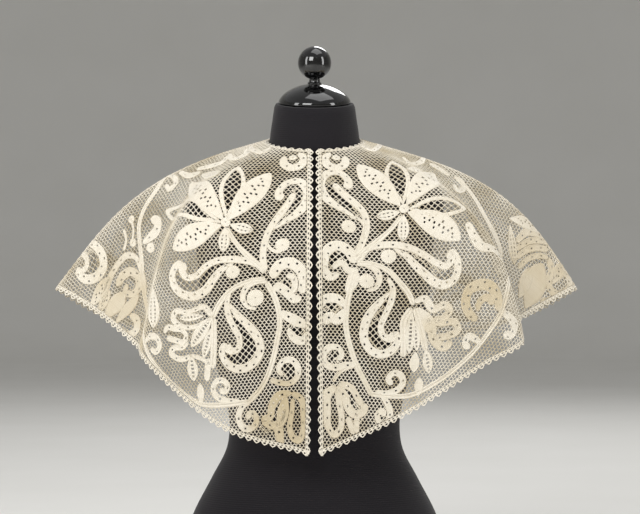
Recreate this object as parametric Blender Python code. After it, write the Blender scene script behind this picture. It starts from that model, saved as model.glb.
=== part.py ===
"""A lace cape collar worn by a black dress form.

The collar is cut flat as two halves of a ring, right and left as the wearer has them, joined at the
centre back and open down the centre front. Each half is drawn on a flat pricking, as a lace maker
draws it, and is then draped: a table of stations round the body says how the lace leaves the
neckline, runs over the shoulder and hangs to the hem.

On the pricking the middle of the neck circle is the origin, the centre front runs straight down
from it, and x grows towards the wearer's side. The form faces -Y, +X is its left side and +Z is up.
The origin is the middle of its flat base. Tables are in millimetres and degrees, and everything
that is built is in metres.
"""

import math
from collections import namedtuple

import bmesh
import bpy
import numpy as np
from mathutils import Matrix, Vector
from mathutils.geometry import delaunay_2d_cdt

MM = 0.001

# Lace wall and seams
GROUND_THICKNESS = 1.2
CLOTHWORK_RELIEF = 0.8
EDGING_THICKNESS = 2.0
SEAM_GAP = 0.3

# Flat cut of one half: a sector of a ring
NECK_RADIUS = 90.0
HALF_ANGLE = math.radians(118.0)
EDGING_WIDTH = 7.0
NECK_EDGING_WIDTH = 6.0
PICOT_HEIGHT = 4.0
HEM_SCALLOPS = 82
NECK_SCALLOPS = 17
FRONT_STEPS = 16
BACK_STEPS = 12

# Drape grid
RING_POINTS = 96
RING_COUNT = 48

# Points of the wall between its outlines
FOLD_COLUMNS = (0.05, 0.11, 0.17, 0.22, 0.26, 0.29, 0.32, 0.35, 0.38, 0.41, 0.45, 0.49, 0.53, 0.57, 0.62, 0.68,
                0.74, 0.80, 0.86, 0.92, 0.97)
WALL_ROWS = 13
POINT_SPACING = 17.0
OUTLINE_SPACING = 9.0
MERGE_DISTANCE = 0.5
EDGE_MARGIN = 2.5

# Sections of the dress form, from its base to the top of its neck
Section = namedtuple("Section", "height half_width front back squareness tilt")
FORM_SECTIONS = (
    Section(0, 175, 112, 124, 2.2, 0),
    Section(40, 172, 111, 123, 2.2, 0),
    Section(91, 158, 103, 114, 2.2, 0),
    Section(140, 133, 92, 98, 2.1, 0),
    Section(178, 114, 84, 86, 2.1, 0),
    Section(206, 110.5, 82, 82, 2.1, 0),
    Section(240, 115, 88, 84, 2.1, 0),
    Section(284, 128, 103, 91, 2.1, 0),
    Section(330, 142, 122, 99, 2.1, 0),
    Section(372, 149, 130, 105, 2.2, 0),
    Section(418, 152, 121, 109, 2.2, 0),
    Section(460, 158, 103, 107, 2.2, 0),
    Section(495, 168, 86, 98, 2.2, 0),
    Section(512, 163, 74, 86, 2.2, 0),
    Section(526, 145, 65, 75, 2.1, 0),
    Section(538, 119, 60, 67, 2.0, 1),
    Section(549, 88, 57.5, 61, 2.0, 4),
    Section(559, 66, 56.0, 57.4, 2.0, 7.5),
    Section(567, 60.4, 55.7, 56.4, 2.0, 9.5),
    Section(576, 58.6, 55.3, 55.6, 2.0, 10.5),
    Section(588, 57.2, 54.8, 55.0, 2.0, 11),
    Section(604, 54.8, 53.5, 53.4, 2.0, 10.5),
    Section(624, 52, 51.5, 51.5, 2.0, 10),
)
FORM_SIDES = 40

# Turned cap and finial: radius and height above the top of the neck
Turning = namedtuple("Turning", "radius height")
CAP_PROFILE = (
    Turning(0, 0.3), Turning(45.6, 0.3), Turning(46.7, 1.4), Turning(46.7, 4.0), Turning(45.4, 6.6),
    Turning(41.0, 12.0), Turning(34.0, 17.2), Turning(24.5, 21.8), Turning(13.5, 25.0), Turning(0, 26.0),
)
STEM_PROFILE = (
    Turning(0, 26.3), Turning(9.2, 26.3), Turning(9.2, 27.6), Turning(7.2, 29.2), Turning(7.0, 32.0),
    Turning(8.2, 34.2),
)
BALL_RADIUS = 21.7
BALL_MIDDLE = 53.2
BALL_STEPS = 9
TURNED_SIDES = 32

# Neckline of the lace: an ellipse just clear of the neck
NECKLINE_HEIGHT = 575.0
NECKLINE_HALF_WIDTH = 59.3
NECKLINE_HALF_DEPTH = 56.5
NECKLINE_TILT = 12.5
FRONT_HALF_GAP = 1.2

# Stations of the drape from centre front to centre back. share is the station's place along the
# neckline, across, forward and height place its hem, and the slopes are below the horizontal.
Station = namedtuple("Station", "share across forward height start_slope end_slope start_pull end_pull")
RIGHT_STATIONS = (
    Station(0.00, 5, 147, 178, 40, 88, 0.36, 0.50),
    Station(0.13, 112, 145, 210, 34, 86, 0.36, 0.48),
    Station(0.24, 184, 130, 266, 25, 84, 0.42, 0.46),
    Station(0.32, 217, 104, 298, 19, 80, 0.48, 0.42),
    Station(0.38, 226, 66, 309, 16, 74, 0.50, 0.38),
    Station(0.46, 288, 22, 355, 14, 66, 0.54, 0.32),
    Station(0.53, 338, -8, 382, 13, 52, 0.54, 0.32),
    Station(0.62, 296, -62, 351, 15, 60, 0.46, 0.34),
    Station(0.74, 208, -112, 320, 20, 74, 0.42, 0.38),
    Station(0.88, 96, -142, 296, 28, 84, 0.38, 0.40),
    Station(1.00, 0, -150, 288, 32, 86, 0.38, 0.40),
)
LEFT_STATIONS = (
    Station(0.00, 5, 147, 178, 40, 88, 0.36, 0.50),
    Station(0.13, 112, 146, 227, 34, 86, 0.36, 0.48),
    Station(0.25, 210, 133, 287, 25, 84, 0.42, 0.46),
    Station(0.33, 262, 112, 316, 19, 80, 0.48, 0.42),
    Station(0.39, 252, 68, 334, 16, 74, 0.50, 0.38),
    Station(0.46, 292, 26, 357, 15, 68, 0.53, 0.38),
    Station(0.53, 342, -8, 382, 14, 58, 0.54, 0.40),
    Station(0.62, 296, -62, 351, 15, 60, 0.46, 0.34),
    Station(0.74, 208, -112, 320, 20, 74, 0.42, 0.38),
    Station(0.88, 96, -142, 296, 28, 84, 0.38, 0.40),
    Station(1.00, 0, -150, 288, 32, 86, 0.38, 0.40),
)

# Clothwork drawn on the pricking. A leaf runs from its base to its tip, and bow is how far its
# middle stands to the left of that line. mesh is how many open diamonds it has, and back is 1 where
# the back of the half repeats it.
Leaf = namedtuple("Leaf", "x y tip_x tip_y width bow mesh back")
Scroll = namedtuple("Scroll", "x y radius end_radius start turn width back")
Stem = namedtuple("Stem", "x y end_x end_y width bow back")

RIGHT_LEAVES = (
    # Flower
    Leaf(97, -192, 56, -136, 24, 0, 0, 1),
    Leaf(99, -190, 91, -122, 21, 0, 5, 1),
    Leaf(103, -191, 158, -128, 25, 0, 0, 1),
    Leaf(106, -196, 194, -156, 22, 0, 5, 1),
    Leaf(105, -202, 169, -228, 25, 0, 0, 1),
    Leaf(100, -206, 106, -234, 12, 0, 0, 0),
    # Paisleys
    Leaf(104, -243, 150, -284, 19, 6, 0, 1),
    Leaf(102, -304, 86, -384, 26, -6, 0, 1),
    Leaf(55, -272, 30, -176, 17, -12, 0, 0),
    # Bell flower
    Leaf(128, -322, 184, -306, 14, 4, 0, 0),
    Leaf(133, -331, 203, -338, 14, 0, 0, 0),
    Leaf(130, -336, 176, -386, 18, 0, 0, 0),
    Leaf(125, -338, 142, -394, 15, 0, 0, 0),
    # Fold and side
    Leaf(250, -254, 208, -298, 26, 0, 0, 0),
    Leaf(242, -180, 208, -170, 14, 0, 0, 0),
    Leaf(258, -262, 300, -232, 26, 0, 0, 0),
    Leaf(96, -84, 140, -104, 18, 0, 0, 0),
    # Tulip at the front corner
    Leaf(36, -430, 16, -474, 15, 0, 0, 0),
    Leaf(41, -430, 38, -486, 15, 0, 0, 0),
    Leaf(46, -430, 66, -474, 16, 0, 0, 0),
)
RIGHT_SCROLLS = (
    Scroll(22, -165, 16, 6, -60, 330, 8, 0),
    Scroll(29, -287, 23, 9, 80, -400, 8, 0),
    Scroll(157, -266, 19, 9, -130, 250, 9, 1),
    Scroll(95, -366, 20, 9, -150, 230, 9, 1),
    Scroll(67, -300, 10, 4, 60, -250, 6, 0),
    Scroll(24, -113, 14, 7, 170, 260, 7, 1),
    Scroll(88, -447, 11, 5, 90, -280, 6, 0),
    Scroll(126, -412, 9, 4, -90, 260, 6, 0),
    Scroll(222, -345, 12, 5, -120, 260, 7, 0),
    Scroll(330, -182, 22, 9, -100, 330, 9, 0),
    Scroll(284, -204, 15, 6, 100, -280, 7, 0),
)
RIGHT_STEMS = (
    Stem(98, -204, 58, -268, 4, -5, 1),
    Stem(58, -266, 108, -243, 5, 9, 1),
    Stem(56, -284, 104, -306, 5, 9, 1),
    Stem(98, -298, 128, -324, 5, 2, 0),
)
RIGHT_VINE = (
    (200, -98), (243, -148), (252, -205), (258, -262), (262, -314), (234, -364), (196, -404), (158, -428),
    (88, -428), (62, -402), (46, -336), (54, -283),
)

LEFT_LEAVES = (
    # Flower
    Leaf(96, -178, 56, -121, 24, 0, 0, 1),
    Leaf(99, -176, 95, -114, 22, 0, 5, 1),
    Leaf(103, -178, 148, -130, 24, 0, 0, 1),
    Leaf(106, -184, 171, -186, 22, 0, 5, 1),
    Leaf(105, -189, 167, -230, 24, 0, 0, 1),
    Leaf(100, -193, 100, -226, 11, 0, 0, 0),
    # Paisleys
    Leaf(94, -233, 150, -278, 19, 6, 0, 1),
    Leaf(88, -280, 72, -364, 24, -6, 0, 1),
    Leaf(48, -250, 28, -162, 17, -12, 0, 0),
    # Bell flower
    Leaf(124, -300, 172, -318, 13, 4, 0, 0),
    Leaf(124, -303, 167, -348, 13, 0, 0, 0),
    Leaf(122, -304, 152, -382, 15, 0, 0, 0),
    Leaf(118, -305, 128, -386, 14, 0, 0, 0),
    Leaf(114, -302, 112, -366, 13, 0, 0, 0),
    # Fold and side
    Leaf(252, -250, 218, -288, 24, 0, 0, 0),
    Leaf(288, -232, 306, -272, 22, 0, 0, 0),
    Leaf(110, -84, 134, -126, 18, 0, 0, 0),
    Leaf(316, -168, 340, -220, 30, 0, 0, 0),
    # Tulip at the front corner
    Leaf(30, -418, 14, -466, 15, 0, 0, 0),
    Leaf(36, -418, 38, -474, 15, 0, 0, 0),
    Leaf(42, -416, 64, -452, 16, 0, 0, 0),
)
LEFT_SCROLLS = (
    Scroll(22, -150, 16, 6, -60, 330, 8, 0),
    Scroll(27, -256, 22, 9, 80, -400, 8, 0),
    Scroll(156, -261, 17, 8, -130, 250, 9, 1),
    Scroll(84, -350, 17, 8, -160, 230, 9, 1),
    Scroll(60, -280, 10, 4, 60, -250, 6, 0),
    Scroll(24, -112, 14, 7, 170, 260, 7, 1),
    Scroll(95, -440, 11, 5, 90, -280, 6, 0),
    Scroll(98, -404, 9, 4, -90, 260, 6, 0),
    Scroll(200, -350, 11, 5, -120, 260, 7, 0),
    Scroll(236, -178, 13, 6, 100, -260, 7, 0),
)
LEFT_STEMS = (
    Stem(97, -190, 52, -244, 4, -5, 1),
    Stem(52, -244, 96, -232, 5, 8, 1),
    Stem(50, -264, 90, -282, 5, 8, 1),
    Stem(84, -272, 124, -302, 5, 4, 0),
)
LEFT_VINE = (
    (186, -84), (226, -132), (262, -178), (280, -226), (264, -276), (244, -318), (216, -360), (180, -390),
    (130, -418), (76, -420), (52, -390), (36, -345), (40, -272),
)
VINE_WIDTH = 6.5
MESH_HOLE = 4.6
MESH_STEP = 8.5

LACE_COLOUR = (0.79, 0.70, 0.56, 1.0)
CLOTH_COLOUR = (0.012, 0.011, 0.014, 1.0)
LACQUER_COLOUR = (0.008, 0.008, 0.009, 1.0)


def smooth_curve(knots, values, at):
    """Values read from a smooth curve through the knots, with its slopes from the neighbours."""
    knots = np.asarray(knots, float)
    values = np.asarray(values, float)
    slopes = np.gradient(values, knots, axis=0)
    index = np.clip(np.searchsorted(knots, at) - 1, 0, len(knots) - 2)
    width = knots[index + 1] - knots[index]
    t = (np.asarray(at) - knots[index]) / width
    shape = (-1,) + (1,) * (values.ndim - 1)
    t, width = t.reshape(shape), width.reshape(shape)
    start, end = values[index], values[index + 1]
    leave, arrive = slopes[index] * width, slopes[index + 1] * width
    return (
        (2 * t**3 - 3 * t**2 + 1) * start
        + (t**3 - 2 * t**2 + t) * leave
        + (3 * t**2 - 2 * t**3) * end
        + (t**3 - t**2) * arrive
    )


def even_lengths(points, count):
    """The curve through the points, resampled to count points at even distances."""
    steps = np.linalg.norm(np.diff(points, axis=0), axis=1)
    travelled = np.concatenate([[0.0], np.cumsum(steps)])
    wanted = np.linspace(0.0, travelled[-1], count)
    return np.stack([np.interp(wanted, travelled, column) for column in points.T], axis=1)


def neckline_point(share, side):
    """A point of the neckline, share of the way from centre front to centre back."""
    angle = math.pi * share
    across = side * NECKLINE_HALF_WIDTH * math.sin(angle)
    depth = -NECKLINE_HALF_DEPTH * math.cos(angle)
    return np.array([across, depth, NECKLINE_HEIGHT + depth * math.tan(math.radians(NECKLINE_TILT))])


def fall_line(station, side):
    """The line that the lace follows at a station, from the neckline to the hem."""
    start = neckline_point(station.share, side)
    if station.share == 0.0:
        start[0] = side * FRONT_HALF_GAP
    hem = np.array([side * station.across, -station.forward, station.height])
    way = hem - start
    reach = np.linalg.norm(way)
    out = way.copy()
    out[2] = 0.0
    out /= np.linalg.norm(out)
    down = np.array([0.0, 0.0, -1.0])
    leaving, arriving = math.radians(station.start_slope), math.radians(station.end_slope)
    first = start + station.start_pull * reach * (math.cos(leaving) * out + math.sin(leaving) * down)
    second = hem - station.end_pull * reach * (math.cos(arriving) * out + math.sin(arriving) * down)
    t = np.linspace(0.0, 1.0, 4 * RING_COUNT)[:, None]
    curve = (
        (1 - t) ** 3 * start + 3 * (1 - t) ** 2 * t * first + 3 * (1 - t) * t**2 * second + t**3 * hem
    )
    if station.share == 0.0:
        curve[:, 0] = side * (FRONT_HALF_GAP + (station.across - FRONT_HALF_GAP) * t[:, 0] ** 2.5)
    return even_lengths(curve, RING_COUNT)


class Drape:
    """One half of the collar as it hangs: turns a place on the pricking into a place on the form."""

    def __init__(self, stations, side):
        shares = [station.share for station in stations]
        lines = np.stack([fall_line(station, side) for station in stations])
        fine = np.linspace(0.0, 1.0, 6 * RING_POINTS)
        rings = smooth_curve(shares, lines, fine)
        self.grid = np.stack(
            [even_lengths(rings[:, ring], RING_POINTS) for ring in range(RING_COUNT)], axis=1
        )
        steps = np.linalg.norm(np.diff(self.grid, axis=1), axis=2)
        self.lengths = steps.sum(axis=1)
        along = np.gradient(self.grid, axis=0)
        down = np.gradient(self.grid, axis=1)
        normals = np.cross(along, down) * -side
        self.normals = normals / np.linalg.norm(normals, axis=2, keepdims=True)

    def hem_radius(self, share):
        """The radius of the hem on the pricking, share of the way round this half."""
        return NECK_RADIUS + float(np.interp(share, np.linspace(0.0, 1.0, RING_POINTS), self.lengths))

    def place(self, x, y, height):
        """The point of the pricking at x, y, draped, and moved out from the wall's inside by height."""
        share = math.atan2(x, -y) / HALF_ANGLE
        length = self.hem_radius(min(max(share, 0.0), 1.0)) - NECK_RADIUS
        column = share * (RING_POINTS - 1)
        row = (math.hypot(x, y) - NECK_RADIUS) / length * (RING_COUNT - 1)
        i = min(max(int(column), 0), RING_POINTS - 2)
        j = min(max(int(row), 0), RING_COUNT - 2)
        u, v = column - i, row - j
        weights = ((1 - u) * (1 - v), u * (1 - v), (1 - u) * v, u * v)
        corners = ((i, j), (i + 1, j), (i, j + 1), (i + 1, j + 1))
        point = sum(weight * self.grid[corner] for weight, corner in zip(weights, corners))
        normal = sum(weight * self.normals[corner] for weight, corner in zip(weights, corners))
        return (point + height * normal / np.linalg.norm(normal)) * MM


def polar(share, radius):
    """The point of the pricking at this radius, share of the way round a half."""
    angle = share * HALF_ANGLE
    return (radius * math.sin(angle), -radius * math.cos(angle))


def repeated_at_back(points, back_scale):
    """The same outline turned over to the back of its half, and shortened to the cape's length there."""
    turned = []
    for x, y in points:
        angle = HALF_ANGLE - math.atan2(x, -y)
        radius = NECK_RADIUS + (math.hypot(x, y) - NECK_RADIUS) * back_scale
        turned.append((radius * math.sin(angle), -radius * math.cos(angle)))
    return turned


def run_anticlockwise(outline):
    """The outline, running anticlockwise."""
    x, y = np.array(outline).T
    area = np.sum(x * np.roll(y, -1) - y * np.roll(x, -1))
    return outline if area > 0 else outline[::-1]


def ribbon(path, widths):
    """The outline of a ribbon along a path, with its width at each point of it."""
    path = np.asarray(path, float)
    ahead = np.gradient(path, axis=0)
    ahead /= np.linalg.norm(ahead, axis=1, keepdims=True)
    aside = np.stack([-ahead[:, 1], ahead[:, 0]], axis=1) * np.asarray(widths, float)[:, None] / 2
    return [tuple(point) for point in np.concatenate([path + aside, (path - aside)[::-1]])]


def bowed_path(start, end, bow, shares):
    """Points of an arc from start to end, its middle bow to the left of the straight line."""
    start, end = np.array(start, float), np.array(end, float)
    way = end - start
    aside = np.array([-way[1], way[0]]) / np.linalg.norm(way)
    return [start + share * way + bow * 4 * share * (1 - share) * aside for share in shares]


def leaf_outline(leaf):
    """The pointed oval of a leaf or petal."""
    shares = (0.0, 0.25, 0.6, 0.88, 1.0)
    path = bowed_path((leaf.x, leaf.y), (leaf.tip_x, leaf.tip_y), leaf.bow, shares)
    points = ribbon(path, [share * leaf.width for share in (0.0, 0.7, 1.0, 0.55, 0.0)])
    return points[:5] + points[6:9]


def scroll_outline(scroll):
    """The band of a scroll, wound in from its outer end."""
    steps = max(4, round(abs(scroll.turn) / 45))
    path, widths = [], []
    for step in range(steps + 1):
        share = step / steps
        angle = math.radians(scroll.start + share * scroll.turn)
        radius = scroll.radius + share * (scroll.end_radius - scroll.radius)
        path.append((scroll.x + radius * math.cos(angle), scroll.y + radius * math.sin(angle)))
        widths.append(scroll.width * (1.0 if step else 0.5))
    return ribbon(path, widths)


def stem_outline(stem):
    """The even band of a stem."""
    shares = (0.0, 0.33, 0.67, 1.0)
    path = bowed_path((stem.x, stem.y), (stem.end_x, stem.end_y), stem.bow, shares)
    return ribbon(path, [stem.width] * len(shares))


def mesh_holes(leaf):
    """The open diamonds down the middle of a leaf."""
    shares = [0.6 + (place - (leaf.mesh - 1) / 2) * MESH_STEP / math.dist(leaf[0:2], leaf[2:4])
              for place in range(leaf.mesh)]
    middles = bowed_path((leaf.x, leaf.y), (leaf.tip_x, leaf.tip_y), leaf.bow, shares)
    reach = MESH_HOLE / math.sqrt(2)
    return [
        [(x - reach, y), (x, y - reach), (x + reach, y), (x, y + reach)] for x, y in middles
    ]


class Half:
    """One half of the lace, drawn on its pricking and then draped."""

    def __init__(self, name, stations, side, leaves, scrolls, stems, vine):
        self.name = name
        self.drape = Drape(stations, side)
        self.leaves, self.scrolls, self.stems, self.vine = leaves, scrolls, stems, vine
        self.front = EDGING_WIDTH + SEAM_GAP

    def column(self, step, steps, radius):
        """The point of this radius on one of the even columns from the front edge to the back seam."""
        if step == 0:
            return (self.front, -math.sqrt(radius**2 - self.front**2))
        first = math.asin(self.front / radius) / HALF_ANGLE
        last = 1.0 - SEAM_GAP / 2 / radius / HALF_ANGLE
        return polar(first + (last - first) * step / steps, radius)

    def hem_point(self, step, inset, steps=HEM_SCALLOPS):
        """A point that lies this far inside the hem."""
        share = step / steps
        return self.column(step, steps, self.drape.hem_radius(share) - inset)

    def ground_outline(self):
        """The outline of the net, inside its edgings."""
        neck = NECK_RADIUS + NECK_EDGING_WIDTH + SEAM_GAP
        inset = EDGING_WIDTH + SEAM_GAP
        outline = [self.hem_point(step, inset) for step in range(HEM_SCALLOPS + 1)]
        back = self.drape.hem_radius(1.0) - inset
        for step in range(1, BACK_STEPS):
            outline.append(self.column(1, 1, back + (neck - back) * step / BACK_STEPS))
        outline += [self.column(step, NECK_SCALLOPS, neck) for step in range(NECK_SCALLOPS, -1, -1)]
        first, last = outline[-1][1], outline[0][1]
        for step in range(1, FRONT_STEPS):
            outline.append((self.front, first + (last - first) * step / FRONT_STEPS))
        return outline

    def clothwork_outlines(self):
        """The outlines of all that is worked thicker than the net, and of the openings cut in it."""
        back_scale = self.drape.lengths[-1] / self.drape.lengths[0]
        drawn = [(leaf_outline(leaf), leaf.back) for leaf in self.leaves]
        drawn += [(scroll_outline(scroll), scroll.back) for scroll in self.scrolls]
        drawn += [(stem_outline(stem), stem.back) for stem in self.stems]
        drawn.append((ribbon(self.vine, [VINE_WIDTH] * len(self.vine)), 1))
        cuts = [(hole, leaf.back) for leaf in self.leaves for hole in mesh_holes(leaf)]
        both = []
        for shapes in (drawn, cuts):
            outlines = [points for points, _ in shapes]
            outlines += [repeated_at_back(points, back_scale) for points, back in shapes if back]
            both.append([[self.kept_inside(*point) for point in outline] for outline in outlines])
        return both

    def kept_inside(self, x, y):
        """The point, moved inside the net where it comes too near an edging or the back seam."""
        angle, radius = math.atan2(x, -y), math.hypot(x, y)
        edge = EDGING_WIDTH + SEAM_GAP + EDGE_MARGIN
        angle = min(angle, HALF_ANGLE - EDGE_MARGIN / radius)
        longest = self.drape.hem_radius(min(max(angle / HALF_ANGLE, 0.0), 1.0)) - edge
        radius = min(max(radius, NECK_RADIUS + edge), longest)
        return (max(radius * math.sin(angle), edge), -radius * math.cos(angle))

    def wall_points(self, outlines):
        """Points that let the wall follow its folds, clear of every outline and of each other."""
        drawn = np.array([point for outline in outlines for point in outline])
        kept = []
        for share in FOLD_COLUMNS:
            length = self.drape.hem_radius(share) - NECK_RADIUS
            for row in range(1, WALL_ROWS):
                x, y = polar(share, NECK_RADIUS + length * row / WALL_ROWS)
                if np.hypot(*(drawn - (x, y)).T).min() < OUTLINE_SPACING:
                    continue
                if kept and np.hypot(*(np.array(kept) - (x, y)).T).min() < POINT_SPACING:
                    continue
                kept.append((x, y))
        return kept

    def flat_lace(self):
        """The lace flat on its pricking, as a mesh one face thick, and which faces are clothwork."""
        ground = self.ground_outline()
        clothwork, cuts = self.clothwork_outlines()
        outlines = [run_anticlockwise(outline) for outline in [ground] + clothwork + cuts]
        points, faces = [], []
        for outline in outlines:
            faces.append(list(range(len(points), len(points) + len(outline))))
            points += outline
        points += self.wall_points(outlines)
        found, _, triangles, _, _, inside = delaunay_2d_cdt(
            [Vector(point) for point in points], [], faces, 0, MERGE_DISTANCE, True
        )
        flat = bmesh.new()
        corners = [flat.verts.new((point.x, point.y, 0.0)) for point in found]
        first_cut = 1 + len(clothwork)
        raised = set()
        for triangle, owners in zip(triangles, inside):
            if 0 not in owners or any(owner >= first_cut for owner in owners):
                continue
            face = flat.faces.new([corners[corner] for corner in triangle])
            if len(owners) > 1:
                raised.add(face)
        loose = [vertex for vertex in flat.verts if not vertex.link_faces]
        bmesh.ops.delete(flat, geom=loose, context="VERTS")
        return flat, self.joined_fully(flat, raised)

    def joined_fully(self, flat, raised):
        """The clothwork, grown where two pieces of it would meet at a single point only."""
        changed = True
        while changed:
            changed = False
            for vertex in flat.verts:
                inside = [edge for edge in vertex.link_edges
                          if len({face in raised for face in edge.link_faces}) == 2]
                open_edges = [edge for edge in vertex.link_edges
                              if edge.is_boundary and edge.link_faces[0] in raised]
                if len(inside) + len(open_edges) > 2:
                    raised |= set(vertex.link_faces)
                    changed = True
        return raised

    def build_lace(self):
        """The draped wall of this half, its clothwork standing above the net."""
        mesh, raised = self.flat_lace()
        thicken(mesh, list(mesh.faces), GROUND_THICKNESS, keep_inside=True, raised=raised)
        return self.hang(mesh, "lace_" + self.name)

    def hang(self, mesh, name):
        """Drapes a flat mesh and makes it an object."""
        for vertex in mesh.verts:
            vertex.co = self.drape.place(*vertex.co)
        bmesh.ops.recalc_face_normals(mesh, faces=mesh.faces)
        if mesh.calc_volume(signed=True) < 0:
            bmesh.ops.reverse_faces(mesh, faces=mesh.faces)
        return finish(mesh, name, LACE_MATERIAL, LACE_COLLECTION)

    def build_edging(self, kind, scallops, inner, valley, tip):
        """A scalloped edging. inner, valley and tip give the points of its columns."""
        mesh = bmesh.new()
        near = [mesh.verts.new((*inner(step), 0.0)) for step in range(scallops + 1)]
        low = [mesh.verts.new((*valley(step), 0.0)) for step in range(scallops + 1)]
        for step in range(scallops):
            crown = [mesh.verts.new((*tip(step, share), 0.0)) for share in (0.22, 0.5, 0.78)]
            mesh.faces.new([near[step], near[step + 1], low[step + 1], *reversed(crown), low[step]])
        bmesh.ops.triangulate(mesh, faces=mesh.faces, quad_method="BEAUTY", ngon_method="BEAUTY")
        thicken(mesh, list(mesh.faces), EDGING_THICKNESS, keep_inside=True, raised=())
        return self.hang(mesh, f"{kind}_edging_{self.name}")

    def build_hem_edging(self):
        """The edging sewn along the hem."""
        def crown(step, share):
            drop = PICOT_HEIGHT * 0.18 if share != 0.5 else 0.0
            return self.hem_point(step + share, drop)

        return self.build_edging(
            "hem", HEM_SCALLOPS, lambda step: self.hem_point(step, EDGING_WIDTH),
            lambda step: self.hem_point(step, PICOT_HEIGHT), crown,
        )

    def build_neck_edging(self):
        """The edging sewn round the neck."""
        def at(radius):
            return lambda step: self.column(step, NECK_SCALLOPS, radius)

        def crown(step, share):
            drop = PICOT_HEIGHT * 0.18 if share != 0.5 else 0.0
            return self.column(step + share, NECK_SCALLOPS, NECK_RADIUS + drop)

        return self.build_edging(
            "neck", NECK_SCALLOPS, at(NECK_RADIUS + NECK_EDGING_WIDTH), at(NECK_RADIUS + PICOT_HEIGHT), crown
        )

    def build_front_edging(self):
        """The straight edging sewn down the front edge."""
        mesh = bmesh.new()
        rows = []
        for step in range(FRONT_STEPS + 1):
            share = step / FRONT_STEPS
            row = []
            for x in (PICOT_HEIGHT * 0.4, EDGING_WIDTH):
                top, bottom = NECK_RADIUS, self.drape.hem_radius(0.0)
                y = -(top + (bottom - top) * share)
                row.append(mesh.verts.new((x, y, 0.0)))
            rows.append(row)
        for (a, b), (c, d) in zip(rows, rows[1:]):
            mesh.faces.new([a, c, d, b])
        thicken(mesh, list(mesh.faces), EDGING_THICKNESS, keep_inside=True, raised=())
        return self.hang(mesh, "front_edging_" + self.name)


def thicken(mesh, faces, thickness, keep_inside, raised):
    """Gives a flat sheet its thickness, and raises the faces that are named by the clothwork's relief."""
    marks = [face in raised for face in faces]
    made = bmesh.ops.extrude_face_region(mesh, geom=faces, use_keep_orig=keep_inside)["geom"]
    tops = [item for item in made if isinstance(item, bmesh.types.BMFace)]
    for vertex in {vertex for face in tops for vertex in face.verts}:
        vertex.co.z = thickness
    clothwork = [top for top, mark in zip(tops, marks) if mark]
    if not clothwork:
        return
    made = bmesh.ops.extrude_face_region(mesh, geom=clothwork)["geom"]
    for item in made:
        if isinstance(item, bmesh.types.BMVert):
            item.co.z = thickness + CLOTHWORK_RELIEF
    bmesh.ops.delete(mesh, geom=clothwork, context="FACES_ONLY")


def finish(mesh, name, material, collection):
    """Makes an object of a mesh, and frees the mesh."""
    data = bpy.data.meshes.new(name)
    mesh.to_mesh(data)
    mesh.free()
    data.materials.append(material)
    made = bpy.data.objects.new(name, data)
    collection.objects.link(made)
    return made


def make_material(name, colour, roughness):
    """A plain finish."""
    material = bpy.data.materials.new(name)
    material.use_nodes = True
    shader = material.node_tree.nodes["Principled BSDF"]
    shader.inputs["Base Color"].default_value = colour
    shader.inputs["Roughness"].default_value = roughness
    return material


def make_collection(name):
    """A collection in the scene."""
    collection = bpy.data.collections.new(name)
    bpy.context.scene.collection.children.link(collection)
    return collection


def build_form():
    """The limbless body that the collar rests on, closed at its base and at the top of its neck."""
    mesh = bmesh.new()
    loops = []
    for section in FORM_SECTIONS:
        ring = bmesh.ops.create_circle(mesh, segments=FORM_SIDES, radius=1.0)["verts"]
        power = 2.0 / section.squareness
        for vertex in ring:
            sine, cosine = vertex.co.x, -vertex.co.y
            depth = section.front if cosine > 0 else section.back
            x = section.half_width * math.copysign(abs(sine) ** power, sine)
            y = -depth * math.copysign(abs(cosine) ** power, cosine)
            vertex.co = Vector((x, y, section.height + y * math.tan(math.radians(section.tilt)))) * MM
        loops.append(ring)
    for lower, upper in zip(loops, loops[1:]):
        edges = {edge for ring in (lower, upper) for vertex in ring for edge in vertex.link_edges
                 if edge.other_vert(vertex) in ring}
        bmesh.ops.bridge_loops(mesh, edges=list(edges))
    bmesh.ops.holes_fill(mesh, edges=[edge for edge in mesh.edges if edge.is_boundary], sides=FORM_SIDES)
    bmesh.ops.recalc_face_normals(mesh, faces=mesh.faces)
    return finish(mesh, "dress_form", CLOTH_MATERIAL, FORM_COLLECTION)


def build_turned(name, profile):
    """A turned piece standing on the neck, square to its sloping top."""
    top = FORM_SECTIONS[-1]
    mesh = bmesh.new()
    points = [mesh.verts.new((turning.radius * MM, 0.0, turning.height * MM)) for turning in profile]
    edges = [mesh.edges.new(pair) for pair in zip(points, points[1:])]
    bmesh.ops.spin(
        mesh, geom=points + edges, cent=(0, 0, 0), axis=(0, 0, 1), angle=math.tau, steps=TURNED_SIDES,
        use_merge=True,
    )
    bmesh.ops.remove_doubles(mesh, verts=mesh.verts, dist=1e-6)
    tip = Matrix.Translation((0, 0, top.height * MM)) @ Matrix.Rotation(math.radians(top.tilt), 4, "X")
    bmesh.ops.transform(mesh, matrix=tip, verts=mesh.verts)
    bmesh.ops.recalc_face_normals(mesh, faces=mesh.faces)
    return finish(mesh, name, LACQUER_MATERIAL, FORM_COLLECTION)


def finial_profile():
    """The stem and the ball on it."""
    start = math.asin((STEM_PROFILE[-1].radius + 1.5) / BALL_RADIUS)
    ball = []
    for step in range(BALL_STEPS + 1):
        angle = start + (math.pi - start) * step / BALL_STEPS
        radius = BALL_RADIUS * math.sin(angle) if step < BALL_STEPS else 0.0
        ball.append(Turning(radius, BALL_MIDDLE - BALL_RADIUS * math.cos(angle)))
    return STEM_PROFILE + tuple(ball)


for existing in list(bpy.data.objects):
    bpy.data.objects.remove(existing, do_unlink=True)

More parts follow.
